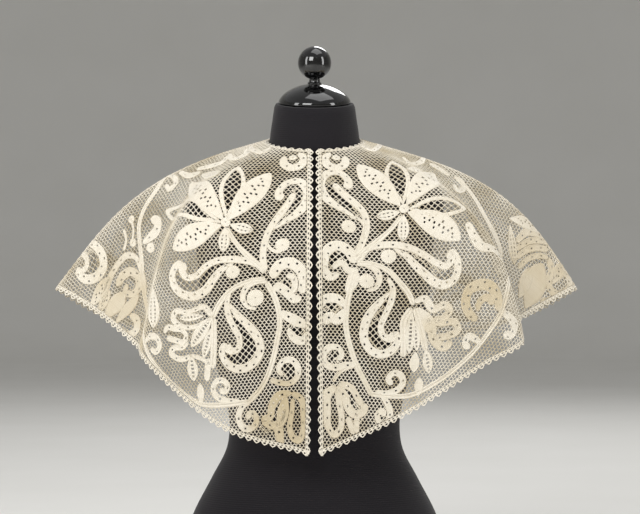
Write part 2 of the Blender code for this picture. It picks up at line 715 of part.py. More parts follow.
LACE_MATERIAL = make_material("ecru_cotton_lace", LACE_COLOUR, 0.85)
CLOTH_MATERIAL = make_material("black_cotton_jersey", CLOTH_COLOUR, 0.9)
LACQUER_MATERIAL = make_material("black_gloss_lacquer", LACQUER_COLOUR, 0.15)
FORM_COLLECTION = make_collection("form")
LACE_COLLECTION = make_collection("collar")

build_form()
build_turned("neck_cap", CAP_PROFILE)
build_turned("finial", finial_profile())
for half in (
    Half("right", RIGHT_STATIONS, -1, RIGHT_LEAVES, RIGHT_SCROLLS, RIGHT_STEMS, RIGHT_VINE),
    Half("left", LEFT_STATIONS, 1, LEFT_LEAVES, LEFT_SCROLLS, LEFT_STEMS, LEFT_VINE),
):
    half.build_lace()
    half.build_hem_edging()
    half.build_neck_edging()
    half.build_front_edging()
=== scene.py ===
"""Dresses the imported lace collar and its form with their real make.

Each half of the collar is drawn flat on its pricking, in millimetres, and hung by the drape that the
solids follow: a net of twisted thread, clothwork with its pinholes and open fillings, and picot
edgings. The form gets a smooth jersey cover, and its cap and finial get lacquer. On the pricking the
middle of the neck circle is the origin, the centre front runs straight down from it, and x grows
towards the wearer's side.
"""

from __future__ import annotations

import logging
import math
from dataclasses import dataclass, field
from enum import Enum
from typing import Any, Callable, Iterable, Iterator, NamedTuple, Sequence

import bmesh
import bpy
import numpy as np
from mathutils import Matrix, Vector


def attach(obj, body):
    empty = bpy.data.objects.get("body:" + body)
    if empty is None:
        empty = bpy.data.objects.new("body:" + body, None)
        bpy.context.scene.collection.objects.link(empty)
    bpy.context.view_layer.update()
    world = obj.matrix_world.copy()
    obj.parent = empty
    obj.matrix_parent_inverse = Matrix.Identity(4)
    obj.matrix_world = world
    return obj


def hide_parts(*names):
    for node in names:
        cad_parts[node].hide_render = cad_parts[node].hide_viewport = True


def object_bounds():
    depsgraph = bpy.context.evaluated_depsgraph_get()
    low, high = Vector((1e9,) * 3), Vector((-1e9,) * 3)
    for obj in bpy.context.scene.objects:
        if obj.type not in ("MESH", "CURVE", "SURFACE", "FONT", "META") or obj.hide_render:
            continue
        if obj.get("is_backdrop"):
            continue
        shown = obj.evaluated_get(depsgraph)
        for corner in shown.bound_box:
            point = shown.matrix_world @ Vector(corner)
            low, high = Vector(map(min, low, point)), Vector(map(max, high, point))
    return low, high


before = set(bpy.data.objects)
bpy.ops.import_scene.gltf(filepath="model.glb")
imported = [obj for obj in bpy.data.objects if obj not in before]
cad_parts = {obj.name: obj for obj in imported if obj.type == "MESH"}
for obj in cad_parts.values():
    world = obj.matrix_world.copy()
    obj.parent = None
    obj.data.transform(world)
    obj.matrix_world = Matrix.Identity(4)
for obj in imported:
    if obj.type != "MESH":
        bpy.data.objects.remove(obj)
CAD_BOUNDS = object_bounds()
LOG = logging.getLogger("lace_collar")

MM = 0.001
SEED = 7

# Flat cut of one half, as the solids have it
NECK_RADIUS = 90.0
HALF_ANGLE = math.radians(118.0)
EDGING_WIDTH = 7.0
NECK_EDGING_WIDTH = 6.0
PICOT_HEIGHT = 4.0
HEM_SCALLOPS = 82
NECK_SCALLOPS = 17
FRONT_SCALLOPS = 32

# Drape, as the solids have it
RING_POINTS = 96
RING_COUNT = 48
NECKLINE_HEIGHT = 575.0
NECKLINE_HALF_WIDTH = 59.3
NECKLINE_HALF_DEPTH = 56.5
NECKLINE_TILT = 12.5
FRONT_HALF_GAP = 1.2
FRONT_OPENING_POWER = 2.5

# Edgings: how far the woven parts reach over the net, where scallops start, and what the seam takes
EDGING_OVERLAP = 0.6
NECK_EDGING_OVERLAP = 0.9
PICOT_START = PICOT_HEIGHT * 0.4
BACK_SEAM = 0.15

# Slow sway of the net, in millimetres: how far it goes, and its two wavelengths over 2 pi
SWAY_ACROSS = (0.9, 37.0, 61.0)
SWAY_ALONG = (0.7, 29.0, 53.0)

# Dressing
SHARP_ANGLE = math.radians(50)
# How far back the lace reaches its full painted shade, in metres
BACK_SHADE_DEPTH = 0.08


class Side(Enum):
    """The wearer's side that a half of the collar hangs on, and its sign along X."""

    RIGHT = -1
    LEFT = 1


class Filling(Enum):
    """How the middle of a petal is worked."""

    PLAIN = "plain cloth stitch"
    CHAIN = "zigzag chain of holes"
    RING = "ring of pinholes"
    LADDER = "ladder of bars"
    MESH = "open diamond mesh"


class Work(Enum):
    """How a tape is worked."""

    PLAIN = "plain cloth stitch"
    PINHOLES = "pinholes to both sides of the middle"
    DOUBLE = "two tapes side by side"
    RIBBED = "cross ribs, each with a pinhole"


class Station(NamedTuple):
    """A line that the lace follows from the neckline to its hem."""

    share: float
    across: float
    forward: float
    height: float
    start_slope: float
    end_slope: float
    start_pull: float
    end_pull: float


class Section(NamedTuple):
    """A level cut through the dress form."""

    height: float
    half_width: float
    front: float
    back: float
    squareness: float
    tilt: float


class Petal(NamedTuple):
    """A petal or leaf from its base to its tip, with its filling."""

    x: float
    y: float
    tip_x: float
    tip_y: float
    width: float
    bow: float
    filling: Filling
    at_back: bool = False


class Tape(NamedTuple):
    """A woven tape along a path, with widths that are spread evenly along it."""

    path: tuple[tuple[float, float], ...]
    widths: tuple[float, ...]
    work: Work
    at_back: bool = False


class Disc(NamedTuple):
    """A round bud of clothwork."""

    x: float
    y: float
    radius: float
    at_back: bool = False


class BrownerPatch(NamedTuple):
    """A patch of the pricking that is coloured browner."""

    x: float
    y: float
    reach: float
    tone: float


class Opening(NamedTuple):
    """A space between tapes that is filled with open diamond mesh."""

    corners: tuple[tuple[float, float], ...]
    at_back: bool = False


# Fall lines, from centre front to centre back: both halves share the first and the last four
CENTRE_FRONT = Station(0.00, 5, 147, 178, 40, 88, 0.36, 0.50)
BACK_STATIONS = (
    Station(0.62, 296, -62, 351, 15, 60, 0.46, 0.34),
    Station(0.74, 208, -112, 320, 20, 74, 0.42, 0.38),
    Station(0.88, 96, -142, 296, 28, 84, 0.38, 0.40),
    Station(1.00, 0, -150, 288, 32, 86, 0.38, 0.40),
)
RIGHT_STATIONS = (
    CENTRE_FRONT,
    Station(0.13, 112, 145, 210, 34, 86, 0.36, 0.48),
    Station(0.24, 184, 130, 266, 25, 84, 0.42, 0.46),
    Station(0.32, 217, 104, 298, 19, 80, 0.48, 0.42),
    Station(0.38, 226, 66, 309, 16, 74, 0.50, 0.38),
    Station(0.46, 288, 22, 355, 14, 66, 0.54, 0.32),
    Station(0.53, 338, -8, 382, 13, 52, 0.54, 0.32),
    *BACK_STATIONS,
)
LEFT_STATIONS = (
    CENTRE_FRONT,
    Station(0.13, 112, 146, 227, 34, 86, 0.36, 0.48),
    Station(0.25, 210, 133, 287, 25, 84, 0.42, 0.46),
    Station(0.33, 262, 112, 316, 19, 80, 0.48, 0.42),
    Station(0.39, 252, 68, 334, 16, 74, 0.50, 0.38),
    Station(0.46, 292, 26, 357, 15, 68, 0.53, 0.38),
    Station(0.53, 342, -8, 382, 14, 58, 0.54, 0.40),
    *BACK_STATIONS,
)

RIGHT_PETALS = (
    # Flower
    Petal(99, -197, 51, -132, 31, 0, Filling.CHAIN, True),
    Petal(101, -195, 92, -119, 31, 0, Filling.MESH, True),
    Petal(104, -197, 161, -126, 31, 0, Filling.CHAIN, True),
    Petal(107, -200, 198, -156, 29, 0, Filling.MESH, True),
    Petal(106, -203, 172, -231, 31, 3, Filling.CHAIN, True),
    Petal(102, -205, 106, -237, 14, 0, Filling.RING, True),
    Petal(97, -202, 70, -213, 14, 0, Filling.RING, True),
    # Leaf on the shoulder
    Petal(147, -116, 115, -131, 15, 0, Filling.RING),
    # Bell flower
    Petal(126, -316, 163, -352, 17, 0, Filling.LADDER),
    Petal(138, -315, 174, -316, 10, 0, Filling.LADDER),
    Petal(130, -330, 147, -368, 12, 0, Filling.LADDER),
    Petal(165, -361, 166, -395, 17, 0, Filling.LADDER),
    # Leaves of the vine
    Petal(159, -427, 157, -398, 12, 0, Filling.PLAIN),
    Petal(213, -272, 219, -322, 25, 0, Filling.RING),
    # Heart of the tulip at the front corner
    Petal(35, -422, 45, -464, 17, 0, Filling.PLAIN),
    # Dense work on the wing
    Petal(320, -263, 280, -240, 22, 0, Filling.PLAIN),
    Petal(307, -275, 261, -250, 15, 0, Filling.PLAIN),
    Petal(339, -243, 299, -216, 19, 0, Filling.CHAIN),
    Petal(329, -255, 302, -231, 13, 0, Filling.CHAIN),
    # Seen through the net, on the back of the wing
    Petal(412, -98, 376, -84, 22, 0, Filling.PLAIN),
)
RIGHT_TAPES = (
    # Vine along the side, the hem and up the front
    Tape(((208, -104), (194, -110), (187, -122), (195, -129), (203, -121)), (5, 7, 8, 7, 6), Work.RIBBED),
    Tape(((207, -106), (219, -129), (232, -146), (241, -165), (243, -190)), (6.5, 6.5), Work.DOUBLE),
    Tape(((243, -184), (244, -204), (250, -233), (254, -262), (252, -295), (246, -326), (236, -352), (196, -400),
          (158, -425), (122, -429), (88, -428)), (6.5, 6.5), Work.DOUBLE, True),
    Tape(((90, -430), (72, -415), (60, -398), (52, -378), (46, -356), (42, -338), (43, -318), (48, -300), (57, -282)),
         (7.0, 7.0), Work.DOUBLE, True),
    # Stems
    Tape(((101, -206), (88, -230), (74, -250), (57, -270)), (5, 7.5), Work.DOUBLE, True),
    Tape(((58, -278), (76, -278), (92, -282), (106, -291), (117, -303), (127, -319)), (6, 7), Work.DOUBLE, True),
    # Long leaf by the front edge, with its hooked top
    Tape(((39, -177), (41, -164), (31, -151), (17, -150), (8, -162), (8, -180), (19, -196), (33, -206), (47, -215)),
         (12, 9, 9, 11, 12, 12, 10, 7, 4), Work.PINHOLES, True),
    Tape(((23, -168), (31, -184), (42, -200), (52, -216), (58, -234), (60, -250), (58, -268)), (8, 9, 8, 8, 8),
         Work.RIBBED, True),
    Tape(((54, -222), (55, -232), (48, -243), (38, -246)), (3, 5), Work.RIBBED, True),
    # Scroll at the neck
    Tape(((19, -99), (12, -110), (16, -122), (27, -126), (36, -118), (37, -104)), (8, 11, 12, 11, 8),
         Work.RIBBED, True),
    # Rose by the front edge
    Tape(((50, -278), (42, -264), (29, -260), (15, -270), (11, -286), (15, -299)), (11, 14, 14, 14, 13, 9),
         Work.PINHOLES, True),
    Tape(((49, -288), (39, -291), (30, -299), (22, -306), (14, -303)), (12, 12, 12, 11, 8), Work.PINHOLES, True),
    Tape(((33, -276), (25, -278), (22, -289), (25, -298)), (7, 8, 8, 7), Work.RIBBED, True),
    # Upper paisley
    Tape(((57, -268), (70, -256), (90, -248), (112, -247), (130, -255), (144, -266), (156, -267), (161, -257),
          (156, -249)), (6, 8, 9, 9, 8, 8, 8, 9, 13), Work.RIBBED, True),
    Tape(((94, -252), (108, -258), (120, -270), (132, -283), (148, -290), (164, -287), (175, -275), (176, -261),
          (169, -251), (159, -248)), (3, 8, 10, 11, 11, 11, 11, 10, 9, 10), Work.PINHOLES, True),
    # Lower paisley
    Tape(((101, -288), (106, -302), (105, -320), (99, -336), (94, -350), (98, -362), (108, -362), (113, -354)),
         (4, 7, 8, 8, 8, 8, 9, 14), Work.RIBBED, True),
    Tape(((104, -302), (93, -320), (80, -336), (71, -350), (68, -364), (75, -378), (90, -386), (106, -384),
          (117, -373), (119, -360), (112, -352)), (3, 8, 10, 11, 11, 11, 11, 11, 10, 9, 9), Work.PINHOLES, True),
    # Bud between the paisleys
    Tape(((56, -282), (66, -280), (79, -284), (86, -297), (81, -310), (70, -314)), (5, 7, 8, 7, 5, 4),
         Work.RIBBED, True),
    # Shell by the front edge
    Tape(((42, -321), (29, -328), (18, -334), (6, -338)), (8, 12, 13, 9), Work.RIBBED, True),
    Tape(((6, -347), (11, -357), (20, -356), (28, -349), (31, -341)), (8, 11, 11, 9, 6), Work.RIBBED, True),
    # Bell flower
    Tape(((127, -317), (137, -304), (150, -307), (165, -309), (178, -307), (184, -315), (176, -324), (161, -328),
          (146, -326), (131, -320)), (6, 8, 6, 6, 8, 9, 7, 6, 6, 5), Work.RIBBED),
    Tape(((202, -331), (196, -325), (183, -328), (172, -331), (168, -338), (173, -345), (186, -342), (199, -337)),
         (6, 8, 8, 7, 7, 8, 8, 8), Work.RIBBED),
    Tape(((166, -346), (178, -352), (189, -351), (196, -356), (190, -363), (176, -366), (165, -363)),
         (5, 7, 8, 9, 8, 8, 6), Work.RIBBED),
    Tape(((125, -318), (129, -349), (135, -382)), (7, 9, 9), Work.DOUBLE),
    Tape(((139, -368), (143, -384), (146, -397)), (9, 9.5, 9), Work.PLAIN),
    Tape(((167, -362), (150, -368), (134, -379)), (5, 6, 5), Work.PLAIN),
    # Hook in the lower front
    Tape(((57, -403), (44, -408), (30, -409), (20, -402), (19, -390), (27, -381), (39, -382), (45, -392), (39, -399)),
         (7, 7, 7, 8, 9, 9, 8, 7, 7), Work.RIBBED, True),
    # Tulip at the front corner
    Tape(((28, -421), (14, -430), (11, -448), (11, -467), (18, -480), (26, -477), (31, -464), (28, -447), (26, -428)),
         (6, 9, 9, 9, 9, 9, 8, 7, 6), Work.RIBBED),
    Tape(((28, -421), (47, -425), (56, -437), (59, -449), (72, -453)), (6, 11, 11, 10, 11), Work.RIBBED),
    Tape(((71, -453), (57, -460), (43, -457), (37, -441)), (8, 10, 9, 6), Work.RIBBED),
    Tape(((48, -456), (46, -474), (44, -488)), (12, 13, 9), Work.RIBBED),
    # Curls along the hem
    Tape(((86, -428), (98, -434), (104, -446), (100, -458), (88, -462), (79, -455), (80, -446), (88, -443), (92, -450)),
         (5, 8, 9, 9, 9, 8, 8, 8, 9), Work.RIBBED, True),
    Tape(((100, -426), (118, -424), (132, -419), (138, -408), (132, -399), (121, -399), (116, -407), (122, -413),
          (128, -408)), (5, 6, 8, 9, 8, 8, 8, 8, 8), Work.RIBBED, True),
    Tape(((240, -336), (228, -331), (216, -335), (213, -345), (221, -352), (230, -346)), (5, 8, 9, 9, 8, 8),
         Work.RIBBED),
    # Leaf, sprigs and flower by the fold
    Tape(((238, -189), (225, -184), (213, -177), (211, -167), (222, -163)), (6, 10, 13, 12, 10), Work.RIBBED),
    Tape(((254, -157), (251, -170), (254, -184)), (4, 3, 4), Work.PLAIN),
    Tape(((267, -166), (264, -179), (270, -192)), (5, 4, 5), Work.PLAIN),
    # Arch, swirl and hem flower on the wing
    Tape(((320, -243), (309, -229), (296, -214), (282, -204), (265, -198), (253, -203), (249, -217), (248, -237),
          (252, -256)), (8, 9, 9, 8, 8, 7, 7, 6, 5), Work.RIBBED),
    Tape(((291, -229), (277, -219), (264, -218), (256, -227), (258, -239), (269, -246), (280, -239), (274, -231)),
         (8, 11, 11, 11, 11, 10, 9, 7), Work.PINHOLES),
    Tape(((306, -287), (293, -298), (281, -298), (275, -285), (281, -270)), (11, 12, 12, 11, 9), Work.RIBBED),
    # Great paisley on the wing
    Tape(((328, -162), (314, -175), (306, -188), (307, -201), (318, -209), (334, -209), (346, -200), (348, -190)),
         (8, 10, 12, 13, 13, 12, 11, 12), Work.PINHOLES),
    Tape(((340, -173), (332, -185), (334, -194), (343, -197)), (6, 8, 8, 8), Work.RIBBED),
    # Shoulder
    Tape(((96, -62), (84, -80), (68, -91), (58, -79)), (6, 8, 8, 6), Work.RIBBED),
    Tape(((119, -80), (109, -94), (99, -99), (90, -91), (97, -72)), (6, 8, 9, 8, 6), Work.PINHOLES),
    Tape(((160, -104), (148, -103), (135, -102), (122, -99), (117, -85)), (6, 8, 9, 9, 7), Work.RIBBED),
    Tape(((187, -103), (168, -113), (150, -111)), (6, 9, 6), Work.RIBBED),
    # Tape along the centre back seam
    Tape(((90, 44), (143, 72), (205, 105), (282, 146)), (4.5, 4.5), Work.DOUBLE),
    # Seen through the net, on the back of the wing
    Tape(((384, -94), (365, -93), (357, -78), (367, -62), (387, -60), (400, -73), (396, -86), (384, -85), (378, -77)),
         (8, 11, 12, 12, 12, 11, 9, 9, 10), Work.PINHOLES),
    Tape(((322, -84), (338, -96), (346, -112), (340, -128)), (8, 11, 12, 12), Work.RIBBED),
)
RIGHT_DISCS = (
    Disc(102, -199, 6, True), Disc(96, -263, 8.5, True), Disc(37, -237, 8.5, True), Disc(26, -107, 5, True),
    Disc(71, -300, 10.5, True), Disc(227, -197, 6.5), Disc(254, -157, 5), Disc(254, -185, 5),
)
RIGHT_OPENINGS = (
    Opening(((21, -160), (14, -166), (14, -178), (25, -192), (40, -206), (51, -219), (45, -202), (32, -185),
             (24, -172)), True),
    Opening(((36, -279), (29, -283), (27, -291), (30, -297), (37, -289), (43, -284)), True),
    Opening(((98, -251), (118, -252), (134, -260), (148, -271), (160, -268), (166, -258), (172, -264), (170, -278),
             (158, -286), (144, -285), (131, -277), (119, -265), (107, -256)), True),
    Opening(((101, -308), (92, -326), (80, -342), (72, -360), (80, -376), (96, -382), (110, -376), (114, -364),
             (100, -364), (93, -352), (96, -338), (103, -322)), True),
    Opening(((9, -338), (9, -352), (16, -357), (26, -353), (28, -338)), True),
    Opening(((22, -400), (23, -389), (30, -385), (40, -388), (40, -398), (30, -404)), True),
    Opening(((44, -420), (54, -432), (61, -448), (70, -456), (60, -468), (50, -458), (42, -440))),
    Opening(((325, -172), (314, -186), (314, -198), (326, -204), (338, -202), (330, -195), (329, -184))),
)

LEFT_PETALS = (
    # Flower
    Petal(98, -183, 51, -118, 31, 0, Filling.CHAIN, True),
    Petal(101, -181, 96, -111, 31, 0, Filling.MESH, True),
    Petal(104, -183, 157, -116, 31, 0, Filling.CHAIN, True),
    Petal(107, -187, 177, -190, 29, 0, Filling.MESH, True),
    Petal(105, -191, 170, -233, 31, 3, Filling.CHAIN, True),
    Petal(101, -194, 100, -228, 14, 0, Filling.RING, True),
    Petal(97, -190, 70, -196, 14, 0, Filling.RING, True),
    # Leaf on the shoulder
    Petal(111, -127, 133, -125, 14, 0, Filling.RING),
    # Bell flower
    Petal(116, -313, 120, -368, 13, 0, Filling.LADDER),
    Petal(121, -326, 130, -364, 11, 0, Filling.LADDER),
    Petal(124, -310, 152, -345, 17, 0, Filling.PLAIN),
    Petal(128, -364, 130, -390, 14, 0, Filling.PLAIN),
    Petal(141, -360, 152, -390, 14, 0, Filling.LADDER),
    # Leaf of the vine
    Petal(141, -420, 139, -395, 13, 0, Filling.PLAIN),
    # Leaf by the fold and dense work on the wing
    Petal(272, -160, 289, -205, 14, 0, Filling.RING),
    Petal(320, -251, 335, -189, 37, 0, Filling.PLAIN),
    Petal(307, -243, 317, -199, 20, 0, Filling.PLAIN),
    Petal(355, -208, 371, -176, 17, 0, Filling.CHAIN),
    Petal(270, -154, 338, -147, 18, 0, Filling.CHAIN),
    # Seen through the net, on the back of the wing
    Petal(380, 46, 401, 22, 17, 0, Filling.PLAIN),
)
LEFT_TAPES = (
    # Vine along the side, the hem and up the front
    Tape(((188, -114), (199, -118), (200, -130), (189, -137), (184, -128)), (5, 7, 8, 7, 6), Work.RIBBED),
    Tape(((190, -112), (210, -134), (228, -158), (247, -178), (262, -196), (266, -210)), (6.5, 6.5),
         Work.DOUBLE),
    Tape(((265, -202), (264, -226), (253, -252), (243, -275), (241, -294), (238, -316), (227, -337), (214, -356),
          (191, -380), (160, -403), (130, -418), (97, -421), (74, -420)), (6.5, 6.5), Work.DOUBLE, True),
    Tape(((76, -422), (64, -404), (54, -388), (46, -370), (40, -352), (37, -335), (38, -312), (42, -290), (48, -264)),
         (7.0, 7.0), Work.DOUBLE, True),
    # Stems
    Tape(((99, -195), (86, -212), (72, -227), (60, -240), (48, -258)), (5, 7.5), Work.DOUBLE, True),
    Tape(((50, -258), (68, -258), (84, -265), (98, -279), (110, -293), (118, -308)), (6, 7), Work.DOUBLE, True),
    # Long leaf by the front edge, with its hooked top
    Tape(((38, -160), (39, -146), (30, -135), (16, -136), (7, -148), (7, -164), (16, -178), (29, -188), (45, -198)),
         (12, 9, 9, 11, 12, 12, 10, 7, 4), Work.PINHOLES, True),
    Tape(((22, -153), (33, -167), (46, -179), (56, -192), (59, -208), (56, -226), (48, -248)), (8, 9, 8, 8, 8),
         Work.RIBBED, True),
    Tape(((56, -226), (57, -210), (50, -201), (40, -199)), (3, 5), Work.RIBBED, True),
    # Scroll at the neck
    Tape(((19, -99), (12, -110), (16, -122), (27, -126), (36, -118), (37, -104)), (8, 11, 12, 11, 8),
         Work.RIBBED, True),
    # Rose by the front edge
    Tape(((46, -259), (39, -244), (26, -238), (14, -245), (10, -257), (10, -270), (18, -278), (28, -273)),
         (9, 13, 13, 13, 12, 12, 11, 7), Work.PINHOLES, True),
    Tape(((21, -268), (26, -261), (33, -260), (37, -267), (45, -271), (43, -284), (37, -297)),
         (6, 8, 8, 10, 14, 12, 5), Work.PLAIN, True),
    # Upper paisley
    Tape(((49, -250), (64, -237), (84, -232), (106, -236), (126, -247), (142, -258), (154, -262), (160, -253),
          (155, -245)), (6, 8, 9, 9, 8, 8, 8, 9, 13), Work.RIBBED, True),
    Tape(((90, -237), (106, -248), (116, -259), (128, -270), (140, -280), (154, -284), (166, -277), (169, -264),
          (165, -252), (156, -244)), (3, 7, 9, 10, 11, 11, 11, 10, 9, 9), Work.PINHOLES, True),
    # Lower paisley
    Tape(((84, -274), (91, -288), (90, -304), (84, -322), (80, -337), (85, -348), (94, -350), (98, -342)),
         (4, 7, 8, 8, 8, 8, 9, 13), Work.RIBBED, True),
    Tape(((88, -292), (76, -306), (65, -322), (60, -338), (61, -354), (70, -366), (84, -370), (97, -364), (103, -352),
          (97, -341)), (3, 8, 10, 11, 11, 11, 11, 11, 10, 9), Work.PINHOLES, True),
    # Bud between the paisleys
    Tape(((48, -260), (59, -259), (70, -265), (75, -277), (70, -289), (60, -292)), (5, 7, 8, 7, 5, 4),
         Work.RIBBED, True),
    # Shell by the front edge
    Tape(((6, -316), (9, -307), (18, -304), (29, -306), (35, -314)), (8, 11, 12, 11, 8), Work.RIBBED, True),
    Tape(((6, -326), (12, -331), (18, -327), (25, -331), (32, -326), (39, -317)), (10, 13, 12, 13, 13, 8),
         Work.RIBBED, True),
    # Bell flower
    Tape(((116, -311), (108, -327), (110, -348), (113, -372)), (8, 9, 8, 9), Work.DOUBLE),
    Tape(((120, -311), (131, -336), (142, -363)), (8, 9, 8), Work.DOUBLE),
    Tape(((118, -304), (130, -300), (144, -313), (158, -308), (166, -314), (161, -322), (145, -326)),
         (6, 9, 10, 9, 9, 9, 7), Work.RIBBED),
    Tape(((136, -326), (158, -329), (175, -328), (182, -336), (166, -345), (150, -347)), (7, 9, 9, 9, 9, 7),
         Work.RIBBED),
    Tape(((143, -338), (153, -352), (169, -357), (175, -350)), (8, 11, 11, 10), Work.RIBBED),
    # Hook in the lower front
    Tape(((54, -384), (38, -387), (22, -390), (11, -385), (9, -373), (18, -365), (29, -366), (33, -375), (27, -380)),
         (6, 9, 9, 9, 9, 9, 8, 7, 7), Work.RIBBED, True),
    Tape(((48, -388), (38, -391), (29, -398), (22, -408)), (4, 5), Work.DOUBLE),
    # Tulip at the front corner
    Tape(((26, -413), (14, -424), (13, -446), (16, -464), (24, -473), (33, -467), (35, -453), (31, -433), (28, -416)),
         (8, 13, 14, 11, 9, 9, 9, 9, 8), Work.RIBBED),
    Tape(((28, -412), (39, -427), (44, -439), (52, -446), (65, -443), (68, -432)), (8, 12, 11, 11, 10, 12),
         Work.RIBBED),
    Tape(((30, -409), (48, -415), (57, -427), (64, -435)), (8, 9, 9, 8), Work.RIBBED),
    Tape(((43, -450), (48, -460), (54, -471)), (8, 9, 9), Work.PLAIN),
    Tape(((57, -446), (57, -471)), (7, 9), Work.PLAIN),
    # Curls along the hem
    Tape(((88, -420), (99, -431), (104, -444), (98, -455), (88, -452), (86, -444), (92, -440), (97, -446)),
         (5, 8, 9, 9, 8, 8, 8, 9), Work.RIBBED, True),
    Tape(((80, -416), (98, -417), (111, -412), (117, -403), (112, -394), (101, -393), (96, -401), (103, -406)),
         (5, 6, 8, 9, 9, 8, 8, 8), Work.RIBBED, True),
    Tape(((220, -352), (208, -346), (197, -344), (196, -354), (204, -356)), (5, 8, 9, 9, 8), Work.RIBBED),
    # Browner paisley by the fold
    Tape(((206, -325), (193, -317), (185, -304), (187, -292), (200, -285), (218, -287), (229, -298), (235, -313)),
         (7, 11, 13, 13, 13, 13, 13, 9), Work.PINHOLES),
    Tape(((204, -315), (205, -304), (214, -299), (225, -306)), (6, 9, 9, 7), Work.RIBBED),
    # Leaf by the fold
    Tape(((232, -252), (214, -241), (197, -240), (187, -228), (178, -210)), (5, 9, 12, 11, 8), Work.PINHOLES),
    Tape(((236, -313), (252, -318), (264, -327), (261, -338), (248, -338)), (6, 9, 11, 10, 9), Work.PINHOLES),
    # Ribs and swirl on the wing
    Tape(((286, -177), (292, -171), (302, -162), (315, -159), (334, -156)), (8, 9, 10, 9, 8), Work.RIBBED),
    Tape(((287, -186), (306, -172), (323, -166), (342, -161)), (7, 8, 8, 7), Work.PINHOLES),
    Tape(((290, -196), (307, -181), (322, -175), (341, -171)), (7, 8, 8, 7), Work.RIBBED),
    Tape(((296, -207), (310, -191), (326, -183), (343, -180)), (6, 7, 7, 6), Work.RIBBED),
    Tape(((344, -180), (352, -193), (349, -206), (358, -215), (370, -216), (381, -209), (387, -198), (380, -188),
          (368, -188)), (9, 11, 11, 10, 10, 11, 11, 10, 8), Work.PINHOLES),
    Tape(((333, -156), (349, -163), (363, -170), (377, -177), (393, -184)), (9, 10, 10, 9, 8), Work.RIBBED),
    Tape(((343, -234), (358, -227), (373, -220)), (9, 10, 8), Work.RIBBED),
    # Shoulder
    Tape(((108, -46), (92, -68), (75, -85), (65, -71)), (6, 8, 8, 6), Work.RIBBED),
    Tape(((119, -90), (124, -105), (139, -99), (157, -79)), (6, 8, 9, 6), Work.RIBBED),
    Tape(((158, -94), (171, -103), (182, -114)), (6, 9, 6), Work.RIBBED),
    # Tape along the centre back seam
    Tape(((90, 44), (143, 72), (205, 105), (282, 146)), (4.5, 4.5), Work.DOUBLE),
    # Seen through the net, on the back of the wing
    Tape(((374, 26), (356, 15), (347, -3), (351, -22), (367, -35), (386, -32), (398, -16), (395, 2), (381, 9),
          (369, 2), (369, -11)), (8, 11, 12, 12, 12, 12, 12, 11, 9, 9, 10), Work.PINHOLES),
    Tape(((312, -100), (330, -108), (342, -124), (338, -140)), (8, 11, 12, 12), Work.RIBBED),
)
LEFT_DISCS = (
    Disc(102, -186, 6, True), Disc(84, -247, 9, True), Disc(39, -212, 8.5, True), Disc(26, -107, 5, True),
    Disc(60, -280, 9, True), Disc(264, -262, 7),
)
LEFT_OPENINGS = (
    Opening(((20, -147), (14, -153), (14, -166), (24, -178), (40, -191), (52, -200), (46, -186), (34, -172),
             (24, -160)), True),
    Opening(((15, -264), (16, -253), (26, -245), (37, -251), (41, -262), (34, -256), (25, -256), (19, -264)), True),
    Opening(((98, -240), (118, -248), (134, -259), (148, -267), (160, -262), (164, -268), (156, -279), (144, -276),
             (132, -268), (118, -256), (106, -245)), True),
    Opening(((86, -300), (76, -316), (68, -332), (66, -350), (76, -362), (90, -364), (98, -354), (86, -350), (79, -338),
             (82, -322)), True),
    Opening(((11, -319), (12, -311), (18, -308), (26, -310), (29, -320)), True),
    Opening(((14, -384), (14, -374), (20, -369), (29, -372), (28, -380), (20, -386)), True),
    Opening(((40, -412), (50, -420), (56, -434), (64, -444), (56, -456), (47, -444), (40, -428))),
)

RIGHT_BROWNER_PATCHES = (BrownerPatch(38, -450, 62, 0.7), BrownerPatch(285, -250, 60, 0.45))
LEFT_BROWNER_PATCHES = (BrownerPatch(36, -442, 58, 0.3), BrownerPatch(160, -336, 34, 0.4),
              BrownerPatch(207, -303, 42, 0.65), BrownerPatch(330, -205, 75, 0.5))

FORM_SECTIONS = (
    Section(0, 175, 112, 124, 2.2, 0),
    Section(40, 172, 111, 123, 2.2, 0),
    Section(91, 158, 103, 114, 2.2, 0),
    Section(140, 133, 92, 98, 2.1, 0),
    Section(178, 114, 84, 86, 2.1, 0),
    Section(206, 110.5, 82, 82, 2.1, 0),
    Section(240, 115, 88, 84, 2.1, 0),
    Section(284, 128, 103, 91, 2.1, 0),
    Section(330, 142, 122, 99, 2.1, 0),
    Section(372, 149, 130, 105, 2.2, 0),
    Section(418, 152, 121, 109, 2.2, 0),
    Section(460, 158, 103, 107, 2.2, 0),
    Section(495, 168, 86, 98, 2.2, 0),
    Section(512, 163, 74, 86, 2.2, 0),
    Section(526, 145, 65, 75, 2.1, 0),
    Section(538, 119, 60, 67, 2.0, 1),
    Section(549, 88, 57.5, 61, 2.0, 4),
    Section(559, 66, 56.0, 57.4, 2.0, 7.5),
    Section(567, 60.4, 55.7, 56.4, 2.0, 9.5),
    Section(576, 58.6, 55.3, 55.6, 2.0, 10.5),
    Section(588, 57.2, 54.8, 55.0, 2.0, 11),
    Section(604, 54.8, 53.5, 53.4, 2.0, 10.5),
    Section(624, 52, 51.5, 51.5, 2.0, 10),
)

# Turned pieces: radius and height above the top of the neck
CAP_PROFILE = (
    (45.6, 0.3), (46.7, 1.4), (46.7, 4.0), (45.4, 6.6), (41.0, 12.0), (34.0, 17.2), (24.5, 21.8), (13.5, 25.0),
    (0, 26.0),
)
STEM_PROFILE = ((0, 26.3), (9.2, 26.3), (9.2, 27.6), (7.2, 29.2), (7.0, 32.0), (8.2, 34.2))
BALL_RADIUS = 21.7
BALL_MIDDLE = 53.2
BALL_STEPS = 40
STEM_IN_BALL = 1.5
CAP_STEPS = 44


